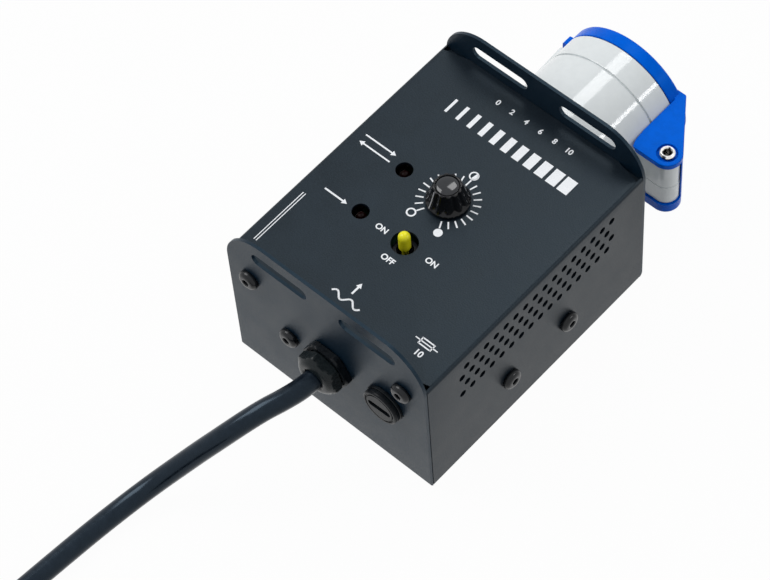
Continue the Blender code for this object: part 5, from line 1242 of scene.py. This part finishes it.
def arm_outline(height):
    """The arm at a height from the socket's axis: its inner edge and heel just clear the barrel there."""
    inner = socket_axis[0] + sqrt((BARREL + GAP) ** 2 - min(height, ARM_TOP) ** 2)
    heel = pin_axis[0] - inner - GAP
    corner = (ARM_CORNER_X, top_edge)
    away = hypot(corner[0] - pin_axis[0], corner[1] - pin_axis[1])
    bearing = np.degrees(np.arctan2(corner[1] - pin_axis[1], corner[0] - pin_axis[0]))
    tangent = bearing - np.degrees(np.arccos(ARM_ROUND / away))
    heel_end = 180 + np.degrees(np.arcsin(ARM_ROUND / heel))
    outline = [corner, (ARM_ROOT_X, top_edge), (ARM_ROOT_X, plate), (inner, plate)]
    outline += [(inner, pin_axis[1] + 0.003), *arc(pin_axis, heel, 180, heel_end, 10)]
    return outline + arc(pin_axis, ARM_ROUND, -90, tangent, 24)


for name, start, thickness, way in (
    ("upper_arm", block_high + GAP - socket_axis[1], UPPER_ARM, 1),
    ("lower_arm", socket_axis[1] - block_low + GAP, LOWER_ARM, -1),
):
    rows = []
    for i in range(ARM_LEVELS):
        height = start + thickness * i / (ARM_LEVELS - 1)
        rows.append([(x, y, socket_axis[1] + way * height) for x, y in arm_outline(height)])
    arm = dressed(f"lid_{name}", skin(rows), lid_plastic, "socket_lid", even=False)
    inner_level = socket_axis[1] + way * start
    outer_level = inner_level + way * thickness
    recess = sorted((outer_level - way * RECESS_DEPTH, outer_level + way * past))
    worked(arm, [
        ("DIFFERENCE", [(round_hole(pin_axis, PIN_HOLE), inner_level - past, inner_level + past, "Z")]),
        ("DIFFERENCE", [(round_hole(pin_axis, RECESS, 40), *recess, "Z")]),
    ])
    rounded(arm, "moulded_edges", 0.0004, 2, 40)

# A thin web on the hinge's outer side joins the two arms. It ends where it still clears the hinge block
# with the lid wide open.
WEB = (ARM_ROUND - 0.0006, ARM_ROUND - 0.0001)
WEB_START = 22
WEB_END = 80
web = arc(pin_axis, WEB[1], WEB_START, WEB_END, 12) + arc(pin_axis, WEB[0], WEB_END, WEB_START, 12)
web = slabs([(web, block_low - GAP, block_high + GAP, "Z")])
dressed("lid_hinge_web", web, lid_plastic, "socket_lid")

# The thumb tab's corners: how far out from the barrel and how far up each is.
TAB = ((-0.0006, -0.0052), (0.0034, -0.0046), (0.0034, 0.0046), (-0.0006, 0.0052))
tab = [(socket_axis[0] - BARREL - out, up) for out, up in TAB]
tab = [(x, z + socket_axis[1]) for x, z in eased(tab, 0.0012, 4, True)]
tab = slabs([(tab, plate - 0.0008, face - 0.0004, "Y")])
dressed("lid_thumb_tab", tab, lid_plastic, "socket_lid")

# Lid seal and rivet: a ring of black rubber inside the lid's rim meets the shroud's mouth, and the lid
# turns on a bright hollow steel rivet through both arms and the hinge block.
SEAL = (0.0260, 0.0295)
SEAL_EDGE = 0.0006
RIVET_BORE = 0.0019
RIVET_SHANK = 0.0025
RIVET_HEAD = 0.0035
RIVET_RISE = 0.0008
seal_rubber = grained("seal_rubber", (0.012, 0.012, 0.014), (0.028, 0.028, 0.030), (0.55, 0.70), 900.0,
                      0.00002)
bright = grained("bright_rivet", (0.72, 0.71, 0.69), (0.88, 0.87, 0.85), (0.14, 0.26), 900.0, 0.000006,
                 metallic=1.0)
profile = [(SEAL[0], plate - EDGE), (SEAL[0], rim_start + SEAL_EDGE), (SEAL[0] + 0.0008, rim_start)]
profile += [(SEAL[1] - 0.0007, rim_start), (SEAL[1], rim_start + SEAL_EDGE), (SEAL[1], plate - EDGE)]
turned("lid_seal_ring", profile, "Y", socket_axis, 96, seal_rubber, "socket_lid",
       ["lid_seal"])
profile = [(RIVET_BORE, pin_low.z), (0.0026, pin_low.z), (RIVET_HEAD - EDGE, pin_low.z + EDGE)]
profile += [(RIVET_HEAD, pin_low.z + RIVET_RISE), (RIVET_SHANK, pin_low.z + RIVET_RISE)]
profile += [(RIVET_SHANK, pin_high.z - RIVET_RISE), (RIVET_HEAD, pin_high.z - RIVET_RISE)]
profile += [(RIVET_HEAD - EDGE, pin_high.z - EDGE), (0.0027, pin_high.z)]
profile += [(0.0023, pin_high.z - 0.0001), (RIVET_BORE, pin_high.z - 0.0006)]
turned("hinge_rivet", profile, "Z", pin_axis, 48, bright, "box", ["hinge_pin"])

# Contacts: a dark thermoset carrier in the socket, with three brass tubes in it. They keep their CAD shape
# and get their materials here.
carrier_plastic = grained("carrier_thermoset", (0.030, 0.038, 0.052), (0.055, 0.065, 0.080), (0.40, 0.52),
                          700.0, 0.00002)
contact_brass = grained("contact_brass", (0.52, 0.36, 0.14), (0.74, 0.54, 0.25), (0.25, 0.42), 900.0,
                        0.000006, metallic=1.0)


def coated(finish, *names):
    """Gives CAD nodes that are shown as they are their material."""
    for name in names:
        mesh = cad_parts[name].data
        mesh.materials.clear()
        mesh.materials.append(finish)


coated(carrier_plastic, "contact_carrier")
coated(contact_brass, "contact_live", "contact_neutral", "contact_earth")

# Inside the box: boards, heat sink and wiring, seen only through the vents and the holes. They keep their
# CAD shape too.
# The boards' green lacquer is painted very dark: painted shade inside the closed box.
board_green_painted_dark = grained("board_lacquer_painted_shade", (0.004, 0.030, 0.011), (0.010, 0.055, 0.022), (0.25, 0.45), 420.0,
                      0.00002)
extrusion = grained("plain_aluminium", (0.62, 0.63, 0.65), (0.76, 0.77, 0.78), (0.32, 0.48), 900.0, 0.00001,
                    metallic=1.0)
enamel = grained("enamelled_copper", (0.34, 0.11, 0.04), (0.62, 0.26, 0.10), (0.22, 0.36), 700.0, 0.00004,
                 metallic=0.85)
case_yellow = grained("capacitor_case", (0.66, 0.45, 0.03), (0.78, 0.58, 0.06), (0.35, 0.45), 500.0,
                      0.00001)
ceramic = grained("fuse_ceramic", (0.76, 0.76, 0.72), (0.88, 0.88, 0.84), (0.30, 0.42), 700.0, 0.00001)
# LED lenses: an unlit dark red lens, its colour painted nearly black as painted shade in its recess under the
# panel.
lens = grained("unlit_red_lens_painted_shade", (0.003, 0.0004, 0.0004), (0.006, 0.0007, 0.0007), (0.30, 0.40), 500.0,
               0.000004, specular=0.05)
block_blue = grained("terminal_blue", (0.01, 0.08, 0.36), (0.02, 0.12, 0.50), (0.35, 0.48), 600.0, 0.00001)
core_brown = grained("core_brown", (0.10, 0.04, 0.015), (0.18, 0.075, 0.03), (0.40, 0.52), 700.0, 0.00001)
core_blue = grained("core_blue", (0.015, 0.07, 0.34), (0.03, 0.12, 0.52), (0.40, 0.52), 700.0, 0.00001)
core_green = grained("core_green", (0.16, 0.32, 0.015), (0.42, 0.58, 0.03), (0.40, 0.52), 300.0, 0.00001)
coated(board_green_painted_dark, "control_board", "power_board")
coated(contact_brass, "standoff_front", "standoff_rear")
coated(extrusion, "heat_sink", "potentiometer_shaft")
coated(enamel, "suppression_choke")
coated(case_yellow, "suppression_capacitor")
coated(ceramic, "fuse_link")
coated(lens, "led_fault", "led_output")
coated(block_blue, "terminal_block")
coated(black_nylon, "switch_body", "triac", "fuse_holder_nut", "gland_locknut")
coated(zinc, "potentiometer", "potentiometer_nut", "earth_nut", "earth_terminal", "lid_spring")
coated(seal_rubber, "gland_seal")
coated(core_brown, "wire_live")
coated(core_blue, "wire_neutral")
coated(core_green, "wire_earth")
